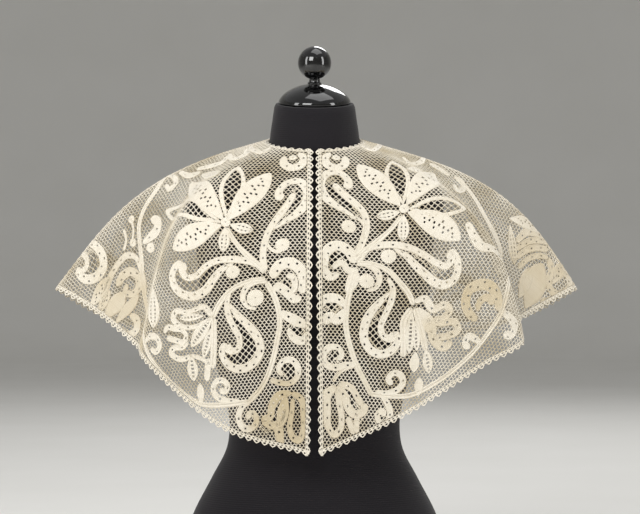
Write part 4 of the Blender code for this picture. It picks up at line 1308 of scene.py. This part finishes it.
@dataclass
class Clothwork:
    """All the clothwork of one half: petals, tapes and buds, woven as bands."""

    pricking: Pricking
    petals: Sequence[Petal]
    tapes: Sequence[Tape]
    discs: Sequence[Disc]
    openings: Sequence[Opening]
    browner: Sequence[BrownerPatch]
    step: float = 2.3
    under: float = 0.3
    edge: float = 1.15
    crown: float = 1.85
    middle_dip: float = 0.4
    groove_dip: float = 0.3
    rim_share: float = 0.2
    hole_rim: float = 0.12
    pinhole_rim: float = 0.62
    pinhole_steps: int = 4
    rib_steps: int = 7
    least_end: float = 0.02
    bud_eye: float = 0.55
    bud_sides: int = 20
    browner_edge: float = 2.5
    petal_reach: tuple[float, float] = (0.015, 0.995)
    petal_fullness: tuple[float, float] = (1.25, 0.7)
    petal_holes_reach: tuple[float, float] = (0.2, 0.86)
    petal_core: tuple[float, float] = (0.84, 0.07)
    petal_core_least: float = 0.35
    petal_band: float = 5.4
    repeat_limit: float = 0.30
    tape_columns: tuple[float, ...] = (0.0, 0.1, 0.22, 0.4, 0.6, 0.78, 0.9, 1.0)
    double_columns: tuple[float, ...] = (0.0, 0.14, 0.42, 0.5, 0.58, 0.86, 1.0)
    petal_columns: tuple[float, ...] = (0.0, 0.05, 0.14, 0.26, 0.37, 0.445, 0.555, 0.63, 0.74, 0.86, 0.95, 1.0)
    ring_columns: tuple[float, ...] = (0.0, 0.2, 0.5, 0.8, 1.0)
    outlines: list[np.ndarray] = field(default_factory=list)
    meshes: list[np.ndarray] = field(default_factory=list)

    def draw(self) -> list[Band]:
        """Draws every band of the half, and notes the outlines that the net has to leave free.

        Returns:
            The bands, in the order in which they are woven.
        """
        bands: list[Band] = []
        for petal in self.petals:
            bands += self.repeated(self.petal_bands(petal), petal.at_back)
        for tape in self.tapes:
            bands += self.repeated([self.tape_band(tape)], tape.at_back)
        for disc in self.discs:
            bands += self.repeated([self.disc_band(disc)], disc.at_back)
        for opening in self.openings:
            corners = smooth_path([*opening.corners, opening.corners[0]], 3.0)[:-1]
            self.note_mesh(corners, opening.at_back)
        for band in bands:
            self.outlines.append(band.left if band.closed else np.concatenate([band.left, band.right[::-1]]))
        return bands

    def note_mesh(self, corners: np.ndarray, at_back: bool) -> None:
        """Notes an outline that is filled with open mesh, and its repeat at the back.

        Args:
            corners: The outline's corners.
            at_back: Whether the back of the half repeats it.
        """
        repeats = at_back and self.pricking.farthest_share(corners) < self.repeat_limit
        for outline in [corners, self.pricking.at_back(corners)][: 2 if repeats else 1]:
            kept = self.pricking.kept_inside(outline, self.pricking.margin)
            self.meshes.append(kept)
            self.outlines.append(kept)

    def repeated(self, bands: list[Band], at_back: bool) -> list[Band]:
        """The bands kept inside the net, and their repeats at the back of the half.

        Args:
            bands: The bands of one motif.
            at_back: Whether the back of the half repeats them.

        Returns:
            The bands to weave.
        """
        turn = self.pricking.at_back
        drawn = list(bands)
        if at_back:
            drawn += [band._replace(left=turn(band.left), right=turn(band.right)) for band in bands
                      if self.pricking.farthest_share(band.left) < self.repeat_limit]
        keep = self.pricking.kept_inside
        margin = self.pricking.margin
        return [band._replace(left=keep(band.left, margin), right=keep(band.right, margin)) for band in drawn]

    def petal_bands(self, petal: Petal) -> list[Band]:
        """Draws a petal as one leaf, or as a band round its mesh.

        Args:
            petal: The petal.

        Returns:
            Its one band.
        """
        start, end = np.array(petal[0:2]), np.array(petal[2:4])
        reach = float(np.linalg.norm(end - start))
        count = max(8, round(reach / self.step))
        shares = np.linspace(*self.petal_reach, count)
        aside = np.array([start[1] - end[1], end[0] - start[0]]) / reach
        lean, fullness = self.petal_fullness
        half = petal.width / 2 * np.sin(math.pi * shares**lean) ** fullness
        spine = start + shares[:, None] * (end - start) + petal.bow * (4 * shares * (1 - shares))[:, None] * aside
        normal = sideways(spine)
        left, right = spine + normal * half[:, None], spine - normal * half[:, None]
        if petal.filling is not Filling.MESH:
            holes = self.petal_holes(petal.filling, count)
            return [Band(left, right, self.petal_columns, holes, False, False, self.hole_rim)]
        core_scale, core_start = self.petal_core
        inner_shares = np.clip(shares * core_scale + core_start, 0.0, 1.0)
        inner_half = np.maximum(np.interp(inner_shares, shares, half) - self.petal_band, self.petal_core_least)
        core = start + inner_shares[:, None] * (end - start)
        inner_left, inner_right = core + normal * inner_half[:, None], core - normal * inner_half[:, None]
        outer = np.concatenate([left, right[::-1], left[:1]])
        inner = np.concatenate([inner_left, inner_right[::-1], inner_left[:1]])
        self.note_mesh((outer[:-1] + 3 * inner[:-1]) / 4, petal.at_back)
        return [Band(outer, inner, self.ring_columns, (), True, False, self.hole_rim)]

    def petal_holes(self, filling: Filling, count: int) -> tuple[tuple[int, int], ...]:
        """The holes of a petal's filling, as steps along it and columns across it.

        Args:
            filling: How the petal is worked.
            count: How many steps long the petal is.

        Returns:
            The step and column of each hole.
        """
        first, last = (round(share * count) for share in self.petal_holes_reach)
        if filling is Filling.CHAIN:
            zigzag = {0: 3, 2: 5, 3: 7, 5: 5}
            turns = [(step, zigzag.get((step - first) % 6)) for step in range(first, last)]
            return tuple((step, column) for step, column in turns if column is not None)
        if filling is Filling.RING:
            ring = [(step, column) for step in range(first + 1, last, 2) for column in (3, 7)]
            return tuple(ring + [(last, 5)])
        if filling is Filling.LADDER:
            return tuple((step, column) for step in range(first, last, 2) for column in (4, 5, 6))
        return ()

    def tape_band(self, tape: Tape) -> Band:
        """Draws a tape with rounded ends.

        Args:
            tape: The tape.

        Returns:
            Its band.
        """
        path = smooth_path(tape.path, self.step)
        shares = np.linspace(0.0, 1.0, len(path))
        half = smooth_curve(np.linspace(0.0, 1.0, len(tape.widths)), tape.widths, shares) / 2
        reach = np.linalg.norm(np.diff(path, axis=0), axis=1).sum()
        for distance, end in ((shares * reach, half[0]), ((1 - shares) * reach, half[-1])):
            near = np.clip(distance / max(end, 1.0), 0.0, 1.0)
            half = half * np.sqrt(np.maximum(1 - (1 - near) ** 2, self.least_end))
        normal = sideways(path)
        left, right = path + normal * half[:, None], path - normal * half[:, None]
        double = tape.work is Work.DOUBLE
        columns = self.double_columns if double else self.tape_columns
        holes: tuple[tuple[int, int], ...] = ()
        if tape.work is Work.PINHOLES:
            turns = enumerate(range(4, len(path) - 4, self.pinhole_steps))
            holes = tuple((step, 2 + 2 * (place % 2)) for place, step in turns)
        if tape.work is Work.RIBBED:
            holes = tuple((step, 3) for step in range(5, len(path) - 4, self.rib_steps))
        return Band(left, right, columns, holes, False, double, self.pinhole_rim)

    def disc_band(self, disc: Disc) -> Band:
        """Draws a bud as a ring that closes on a small eye.

        Args:
            disc: The bud.

        Returns:
            Its band.
        """
        angles = np.linspace(0.0, math.tau, self.bud_sides + 1)
        round_it = np.stack([np.cos(angles), np.sin(angles)], axis=1)
        middle = np.array([disc.x, disc.y])
        outer, eye = middle + disc.radius * round_it, middle + self.bud_eye * round_it
        return Band(outer, eye, self.ring_columns, (), True, False, self.hole_rim)

    def tones(self, places: np.ndarray) -> np.ndarray:
        """How brown the thread is at some places of the pricking, from 0 to 1.

        Args:
            places: The places, one row each.

        Returns:
            One tone for each place.
        """
        tone = np.zeros(len(places))
        for patch in self.browner:
            near = 1 - np.hypot(places[:, 0] - patch.x, places[:, 1] - patch.y) / patch.reach
            tone = np.maximum(tone, patch.tone * np.clip(self.browner_edge * near, 0.0, 1.0))
        return tone

    def weave(self, band: Band) -> bpy.types.Mesh:
        """Weaves a band: a grid laid between its edges, crowned, pierced and given its thickness.

        Args:
            band: The band to weave.

        Returns:
            Its flat mesh, whose vertices hold x, y and height.
        """
        steps, columns = len(band.left) - 1, len(band.columns) - 1
        mesh = bmesh.new()
        weave = mesh.verts.layers.float_vector.new("weave")
        bmesh.ops.create_grid(mesh, x_segments=steps, y_segments=columns, size=1.0)
        middle = (band.left + band.right) / 2
        along = np.concatenate([[0.0], np.cumsum(np.linalg.norm(np.diff(middle, axis=0), axis=1))])
        wide = np.linalg.norm(band.left - band.right, axis=1)
        tones = self.tones(middle)
        cells = {}
        for face in mesh.faces:
            spot = face.calc_center_median()
            cells[(int((spot.x + 1) / 2 * steps), int((spot.y + 1) / 2 * columns))] = face
        for vertex in mesh.verts:
            i, j = round((vertex.co.x + 1) / 2 * steps), round((vertex.co.y + 1) / 2 * columns)
            share = band.columns[j]
            x, y = band.left[i] * (1 - share) + band.right[i] * share
            vertex[weave] = (along[i], share * wide[i], tones[i])
            vertex.co = (x, y, self.height_at(share, band.groove))
        if band.closed:
            bmesh.ops.remove_doubles(mesh, verts=mesh.verts, dist=0.01)
        pierced = [cells[hole] for hole in band.holes if hole in cells and cells[hole].is_valid]
        if pierced:
            bmesh.ops.inset_individual(mesh, faces=pierced, thickness=band.rim, use_even_offset=True,
                                       use_interpolate=True)
            bmesh.ops.delete(mesh, geom=pierced, context="FACES")
        made = bmesh.ops.extrude_face_region(mesh, geom=mesh.faces[:], use_keep_orig=True)["geom"]
        for item in made:
            if isinstance(item, bmesh.types.BMVert):
                item.co.z = self.under
        bmesh.ops.recalc_face_normals(mesh, faces=mesh.faces)
        return finished_mesh(mesh, "band")

    def height_at(self, share: float, groove: bool) -> float:
        """The height of a band's face, share of the way across it: raised along its two edges.

        Args:
            share: How far across the band, from 0 to 1.
            groove: Whether it has a groove down its middle.

        Returns:
            The height above the net's inside, in millimetres.
        """
        if share in (0.0, 1.0):
            return self.edge
        if groove and share == 0.5:
            return self.edge - self.groove_dip
        return self.crown if min(share, 1 - share) < self.rim_share else self.crown - self.middle_dip

    def build(self, finish: bpy.types.Material, bands: list[Band]) -> bpy.types.Object:
        """Weaves the bands, joins them and hangs them.

        Args:
            finish: The clothwork's material.
            bands: The bands of this half.

        Returns:
            The clothwork as one piece.
        """
        return self.pricking.hung("clothwork", joined_mesh(map(self.weave, bands), "clothwork"), finish)


@dataclass
class NetGround:
    """The net of one half, and the open meshes that fill its clothwork."""

    pricking: Pricking
    clothwork: Clothwork
    cell_overlap: float = 0.4
    thread_overlap: float = 0.6
    filling_margin: float = 0.5
    most_corners_under: int = 4

    def build(self, finish: bpy.types.Material) -> tuple[bpy.types.Object, bpy.types.Object, float]:
        """Works the net round the clothwork and hangs it.

        Args:
            finish: The thread's material.

        Returns:
            The ground, the fillings and the ground's flat area in square metres.
        """
        longest = float(self.pricking.drape.hem_radius(np.linspace(0.0, 1.0, RING_POINTS)).max())
        corners, cells = GROUND_NET.cells(np.array([0.0, -longest]), np.array([longest, longest * 0.5]))
        centres = corners[cells].mean(axis=1)
        moved = np.linalg.norm(self.pricking.kept_inside(centres, -self.cell_overlap) - centres, axis=1)
        cells = cells[moved < 0.01]
        spots = np.concatenate([corners, corners[cells].mean(axis=1)])
        under = np.zeros(len(spots), bool)
        for outline in self.clothwork.outlines:
            near = np.flatnonzero(((spots > outline.min(axis=0)) & (spots < outline.max(axis=0))).all(axis=1))
            if len(near):
                under[near] |= inside(spots[near], outline)
        shown = cells[~(under[len(corners) :] & (under[cells].sum(axis=1) > self.most_corners_under))]
        placed = self.pricking.kept_inside(GROUND_NET.wandered(corners), -self.thread_overlap)
        ground = GROUND_NET.build(placed, shown)
        net = self.pricking.hung("net", ground, finish)
        fillings = self.pricking.hung("fillings", joined_mesh(self.fillings(), "fillings"), finish)
        return net, fillings, len(shown) * GROUND_NET.cell_width * GROUND_NET.row_rise * MM**2

    def fillings(self) -> Iterator[bpy.types.Mesh]:
        """Works the open diamond meshes of the petals and paisleys, one by one.

        Yields:
            One flat mesh for each opening.
        """
        for outline in self.clothwork.meshes:
            corners, cells = FILLING_NET.cells(outline.min(axis=0), outline.max(axis=0))
            cells = cells[inside(corners[cells].mean(axis=1), outline)]
            if len(cells):
                yield FILLING_NET.build(
                    self.pricking.kept_inside(FILLING_NET.wandered(corners), self.filling_margin), cells)


class PicotPoint(NamedTuple):
    """A corner of a picot: its share of one scallop, and how far out it stands."""

    share: float
    out: float


@dataclass
class PicotEdging:
    """A narrow woven edging whose scallops are small loops, each round its eyelet."""

    pricking: Pricking
    scallop_steps: int = 4
    under: float = 0.15
    crown: float = 1.7
    crowns: tuple[PicotPoint, ...] = (
        PicotPoint(0.05, -0.5), PicotPoint(0.13, 1.2), PicotPoint(0.25, 2.6), PicotPoint(0.40, 3.4),
        PicotPoint(0.50, 4.1), PicotPoint(0.60, 3.4), PicotPoint(0.75, 2.6), PicotPoint(0.87, 1.2),
        PicotPoint(0.95, -0.5), PicotPoint(0.72, -0.9), PicotPoint(0.50, -1.0), PicotPoint(0.28, -0.9),
    )
    eyelet_half_share: float = 0.16
    eyelet_half_height: float = 1.15
    eyelet_out: float = 1.1

    def build(self, kind: str, scallops: int, at: Callable[[float, float], tuple[float, float]], width: float,
              finish: bpy.types.Material) -> bpy.types.Object:
        """Works an edging along one edge and hangs it.

        Args:
            kind: Which edge it runs along.
            scallops: How many scallops it has.
            at: Gives the point of the pricking at a place along the edge, in scallops, and out from
                the line between the scallops, in millimetres.
            width: The width of the woven part inside that line.
            finish: The edging's material.

        Returns:
            The edging.
        """
        weaver = Clothwork(self.pricking, (), (), (), (), (), under=self.under, crown=self.crown)
        places = np.linspace(0.0, scallops, scallops * self.scallop_steps + 1)
        outer = np.array([at(place, 0.25) for place in places])
        inner = np.array([at(place, -width) for place in places])
        pierced = tuple((step, 2) for step in range(1, len(places) - 2, 2))
        bands = [Band(outer, inner, (0.0, 0.16, 0.3, 0.74, 1.0), pierced, False, False, 0.1)]
        turns = np.linspace(0.0, 2 * math.pi, len(self.crowns) + 1)
        for scallop in range(scallops):
            ring = [at(scallop + point.share, point.out) for point in (*self.crowns, self.crowns[0])]
            eyelet = [
                at(scallop + 0.5 - self.eyelet_half_share * math.cos(turn - 0.5),
                   self.eyelet_out + self.eyelet_half_height * math.sin(turn - 0.5))
                for turn in turns
            ]
            bands.append(Band(np.array(ring), np.array(eyelet), (0.0, 0.45, 1.0), (), True, False, 0.0))
        return self.pricking.hung(kind + "_picots", joined_mesh(map(weaver.weave, bands), "edging"), finish)

    def hem_at(self, place: float, out: float) -> tuple[float, float]:
        """A point near the hem.

        Args:
            place: The place along the edge, in scallops.
            out: How far out from the line between the scallops, in millimetres.

        Returns:
            The point of the pricking.
        """
        share = place / HEM_SCALLOPS
        radius = float(self.pricking.drape.hem_radius(min(max(share, 0.0), 1.0))) - PICOT_HEIGHT + out
        start = math.asin(PICOT_START / radius)
        angle = start + (HALF_ANGLE - BACK_SEAM / radius - start) * share
        return (radius * math.sin(angle), -radius * math.cos(angle))

    def neck_at(self, place: float, out: float) -> tuple[float, float]:
        """A point near the neckline.

        Args:
            place: The place along the edge, in scallops.
            out: How far out from the line between the scallops, in millimetres.

        Returns:
            The point of the pricking.
        """
        radius = NECK_RADIUS + PICOT_HEIGHT - out
        start = math.asin(PICOT_START / radius)
        angle = start + (HALF_ANGLE - BACK_SEAM / radius - start) * place / NECK_SCALLOPS
        return (radius * math.sin(angle), -radius * math.cos(angle))

    def front_at(self, place: float, out: float) -> tuple[float, float]:
        """A point near the centre front.

        Args:
            place: The place along the edge, in scallops.
            out: How far out from the line between the scallops, in millimetres.

        Returns:
            The point of the pricking.
        """
        top, bottom = NECK_RADIUS + 1.0, float(self.pricking.drape.hem_radius(0.0)) - 1.0
        return (PICOT_HEIGHT - out, -(top + (bottom - top) * place / FRONT_SCALLOPS))


@dataclass
class HalfCollar:
    """One half of the collar: its net, clothwork, fillings and three edgings."""

    name: str
    side: Side
    stations: Sequence[Station]
    petals: Sequence[Petal]
    tapes: Sequence[Tape]
    discs: Sequence[Disc]
    openings: Sequence[Opening]
    browner: Sequence[BrownerPatch]

    def build(self, thread: bpy.types.Material, woven: bpy.types.Material) -> None:
        """Builds the half, hides the solids that it replaces and hangs its pieces from the root.

        Args:
            thread: The material of the nets.
            woven: The material of the clothwork and edgings.
        """
        pricking = Pricking(self.name, Drape(self.stations, self.side))
        clothwork = Clothwork(pricking, self.petals, self.tapes, self.discs, self.openings, self.browner)
        bands = clothwork.draw()
        raised = clothwork.build(woven, bands)
        ground, fillings, area = NetGround(pricking, clothwork).build(thread)
        edging = PicotEdging(pricking)
        woven_width = EDGING_WIDTH - PICOT_HEIGHT + EDGING_OVERLAP
        neck_width = NECK_EDGING_WIDTH - PICOT_HEIGHT + NECK_EDGING_OVERLAP
        hem = edging.build("hem", HEM_SCALLOPS, edging.hem_at, woven_width, woven)
        neck = edging.build("neck", NECK_SCALLOPS, edging.neck_at, neck_width, woven)
        front = edging.build("front", FRONT_SCALLOPS, edging.front_at, woven_width, woven)
        for piece, node in ((ground, "lace_"), (hem, "hem_edging_"), (neck, "neck_edging_"), (front, "front_edging_")):
            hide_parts(node + self.name)
        for piece in (ground, raised, fillings, hem, neck, front):
            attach(piece, "root")
        pricking.reach()


@dataclass
class DressForm:
    """The limbless padded form under the collar, with a rounded rim at the top of its neck."""

    sides: int = 112
    rows: int = 150
    rim: float = 1.3

    def build(self, finish: bpy.types.Material) -> None:
        """Shapes the form from its sections, hides the solid that it replaces and hangs it from the root.

        Args:
            finish: The cover's material.
        """
        mesh = bmesh.new()
        bmesh.ops.create_cone(mesh, cap_ends=True, segments=self.sides, radius1=1.0, radius2=1.0, depth=1.0)
        upright = [edge for edge in mesh.edges if abs(edge.verts[0].co.z - edge.verts[1].co.z) > 0.5]
        bmesh.ops.subdivide_edges(mesh, edges=upright, cuts=self.rows - 1)
        heights = [section.height for section in FORM_SECTIONS]
        table = np.array(FORM_SECTIONS, float)
        for vertex in mesh.verts:
            share = vertex.co.z + 0.5
            height = heights[-1] * share
            _, half_width, front, back, squareness, tilt = smooth_curve(heights, table, np.array([height]))[0]
            drop = max(0.0, height - (heights[-1] - self.rim)) / self.rim
            inset = self.rim * (1 - math.sqrt(max(0.0, 1 - drop**2)))
            power = 2.0 / squareness
            sine, cosine = vertex.co.x, -vertex.co.y
            depth = (front if cosine > 0 else back) - inset
            x = (half_width - inset) * math.copysign(abs(sine) ** power, sine)
            y = -depth * math.copysign(abs(cosine) ** power, cosine)
            vertex.co = Vector((x, y, height + y * math.tan(math.radians(tilt)))) * MM
        bmesh.ops.recalc_face_normals(mesh, faces=mesh.faces)
        form = make_object("covered_form", finished_mesh(mesh, "form"), finish)
        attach(form, "root")
        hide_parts("dress_form")


@dataclass
class TurnedPiece:
    """A piece turned on a lathe, standing on the neck and square to its sloping top."""

    name: str
    node: str
    profile: Sequence[tuple[float, float]]
    steps: int = 112

    def build(self, finish: bpy.types.Material) -> None:
        """Spins the profile, hides the solid that the piece replaces and hangs it from the root.

        Args:
            finish: The lacquer.
        """
        top = FORM_SECTIONS[-1]
        mesh = bmesh.new()
        points = [mesh.verts.new((radius * MM, 0.0, height * MM)) for radius, height in self.profile]
        edges = [mesh.edges.new(pair) for pair in zip(points, points[1:])]
        bmesh.ops.spin(mesh, geom=points + edges, cent=(0, 0, 0), axis=(0, 0, 1), angle=math.tau, steps=self.steps,
                       use_merge=True)
        bmesh.ops.remove_doubles(mesh, verts=mesh.verts, dist=1e-6)
        rims = [edge for edge in mesh.edges if edge.is_boundary]
        if rims:
            bmesh.ops.holes_fill(mesh, edges=rims, sides=self.steps)
        tip = Matrix.Translation((0, 0, top.height * MM)) @ Matrix.Rotation(math.radians(top.tilt), 4, "X")
        bmesh.ops.transform(mesh, matrix=tip, verts=mesh.verts)
        bmesh.ops.recalc_face_normals(mesh, faces=mesh.faces)
        piece = make_object(self.name, finished_mesh(mesh, self.name), finish)
        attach(piece, "root")
        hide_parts(self.node)


def cap_profile() -> list[tuple[float, float]]:
    """The dome's profile, smooth above its rim.

    Returns:
        The radius and height of each point, in millimetres.
    """
    marks = np.array(CAP_PROFILE, float)
    reach = np.concatenate([[0.0], np.cumsum(np.linalg.norm(np.diff(marks, axis=0), axis=1))])
    curve = smooth_curve(reach, marks, np.linspace(0.0, reach[-1], CAP_STEPS))
    curve[-1] = (0.0, CAP_PROFILE[-1][1])
    return [(max(float(radius), 0.0), float(height)) for radius, height in curve]


def finial_profile() -> list[tuple[float, float]]:
    """The stem and the ball on it.

    Returns:
        The radius and height of each point, in millimetres.
    """
    start = math.asin((STEM_PROFILE[-1][0] + STEM_IN_BALL) / BALL_RADIUS)
    profile = list(STEM_PROFILE)
    for step in range(BALL_STEPS + 1):
        angle = start + (math.pi - start) * step / BALL_STEPS
        radius = BALL_RADIUS * math.sin(angle) if step < BALL_STEPS else 0.0
        profile.append((radius, BALL_MIDDLE - BALL_RADIUS * math.cos(angle)))
    return profile


@dataclass(frozen=True)
class SoftBox:
    """A softbox: where it hangs, what it points at, its size and its power."""

    name: str
    place: tuple[float, float, float]
    target: tuple[float, float, float]
    width: float
    height: float
    watts: float

    def build(self) -> None:
        """Hangs the light."""
        lamp = bpy.data.lights.new(self.name, "AREA")
        lamp.shape = "RECTANGLE"
        lamp.size, lamp.size_y = self.width, self.height
        lamp.energy = self.watts
        light = bpy.data.objects.new(self.name, lamp)
        light.location = self.place
        light.rotation_euler = (Vector(self.target) - Vector(self.place)).to_track_quat("-Z", "Y").to_euler()
        bpy.context.scene.collection.objects.link(light)


@dataclass
class Studio:
    """A pale seamless floor and wall, soft light and the camera."""

    eye: tuple[float, float, float] = (0.007, -3.0, 0.425)
    lens_mm: float = 129.8
    sensor_mm: float = 36.0
    boxes: tuple[SoftBox, ...] = (
        SoftBox("key_light", (-1.1, -2.4, 1.9), (0.0, 0.0, 0.42), 1.3, 1.3, 46),
        SoftBox("left_strip", (-1.9, -1.1, 1.1), (0.0, 0.0, 0.45), 0.5, 1.9, 18),
        SoftBox("right_strip", (1.9, -1.1, 1.1), (0.0, 0.0, 0.45), 0.5, 1.9, 18),
        SoftBox("top_light", (0.3, -0.2, 2.4), (0.0, 0.0, 0.4), 1.4, 1.4, 12),
        SoftBox("back_light", (0.6, 2.8, 2.6), (0.0, 0.0, 0.42), 1.3, 1.3, 34),
    )
    floor_radius: float = 6.5
    bend_radius: float = 2.0
    wall_top: float = 6.0
    bend_steps: int = 16
    turn_steps: int = 128
    sky: str = "#EFEFEE"
    sky_strength: float = 0.45

    def build(self, paper: bpy.types.Material) -> None:
        """Sets the studio up: a round floor that bends up into its wall, the lights and the camera.

        Args:
            paper: The backdrop's material.
        """
        mesh = bmesh.new()
        profile = [(0.0, 0.0), (self.floor_radius, 0.0)]
        for step in range(1, self.bend_steps + 1):
            angle = math.pi / 2 * step / self.bend_steps
            profile.append((self.floor_radius + self.bend_radius * math.sin(angle),
                            self.bend_radius * (1 - math.cos(angle))))
        profile.append((self.floor_radius + self.bend_radius, self.wall_top))
        knots = [mesh.verts.new((radius, 0.0, height)) for radius, height in profile]
        lines = [mesh.edges.new(pair) for pair in zip(knots, knots[1:])]
        bmesh.ops.spin(mesh, geom=knots + lines, cent=(0, 0, 0), axis=(0, 0, 1), angle=math.tau,
                       steps=self.turn_steps, use_merge=True)
        bmesh.ops.remove_doubles(mesh, verts=mesh.verts, dist=1e-4)
        bmesh.ops.recalc_face_normals(mesh, faces=mesh.faces)
        if min(mesh.faces, key=lambda face: face.calc_center_median().length).normal.z < 0:
            bmesh.ops.reverse_faces(mesh, faces=mesh.faces)
        make_object("studio_backdrop", finished_mesh(mesh, "backdrop"), paper)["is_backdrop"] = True
        for box in self.boxes:
            box.build()
        world = bpy.data.worlds.new("studio")
        world.use_nodes = True
        set_inputs(world.node_tree, world.node_tree.nodes["Background"],
                   {"Color": linear_colour(self.sky), "Strength": self.sky_strength})
        bpy.context.scene.world = world
        bpy.context.scene.view_settings.view_transform = "Standard"
        self.place_camera()

    def place_camera(self) -> None:
        """Stands the camera level, square to the collar."""
        lens = bpy.data.cameras.new("camera")
        lens.lens, lens.sensor_width = self.lens_mm, self.sensor_mm
        lens.clip_end = 50.0
        camera = bpy.data.objects.new("camera", lens)
        camera.location = self.eye
        camera.rotation_euler = (math.pi / 2, 0.0, 0.0)
        bpy.context.scene.collection.objects.link(camera)
        bpy.context.scene.camera = camera


def write_sizes() -> None:
    """Works out the box of the solids and the box of the dressed part."""
    boxes = {"cad": CAD_BOUNDS, "visual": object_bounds()}
    plain = {name: [[float(value) for value in corner] for corner in box] for name, box in boxes.items()}


def main() -> None:
    """Builds the form, the collar and the studio, in that order."""
    logging.basicConfig(level=logging.INFO, format="%(message)s")
    DressForm().build(BlackJersey().build())
    lacquer = BlackLacquer().build()
    TurnedPiece("turned_cap", "neck_cap", cap_profile()).build(lacquer)
    TurnedPiece("turned_finial", "finial", finial_profile()).build(lacquer)
    thread, woven = CottonLaceThread().build(), WovenClothwork().build()
    halves: Iterable[HalfCollar] = (
        HalfCollar("right", Side.RIGHT, RIGHT_STATIONS, RIGHT_PETALS, RIGHT_TAPES, RIGHT_DISCS, RIGHT_OPENINGS,
                   RIGHT_BROWNER_PATCHES),
        HalfCollar("left", Side.LEFT, LEFT_STATIONS, LEFT_PETALS, LEFT_TAPES, LEFT_DISCS, LEFT_OPENINGS,
                   LEFT_BROWNER_PATCHES),
    )
    for half in halves:
        half.build(thread, woven)
    Studio().build(StudioPaper().build())
    write_sizes()


if __name__ == "__main__":
    main()
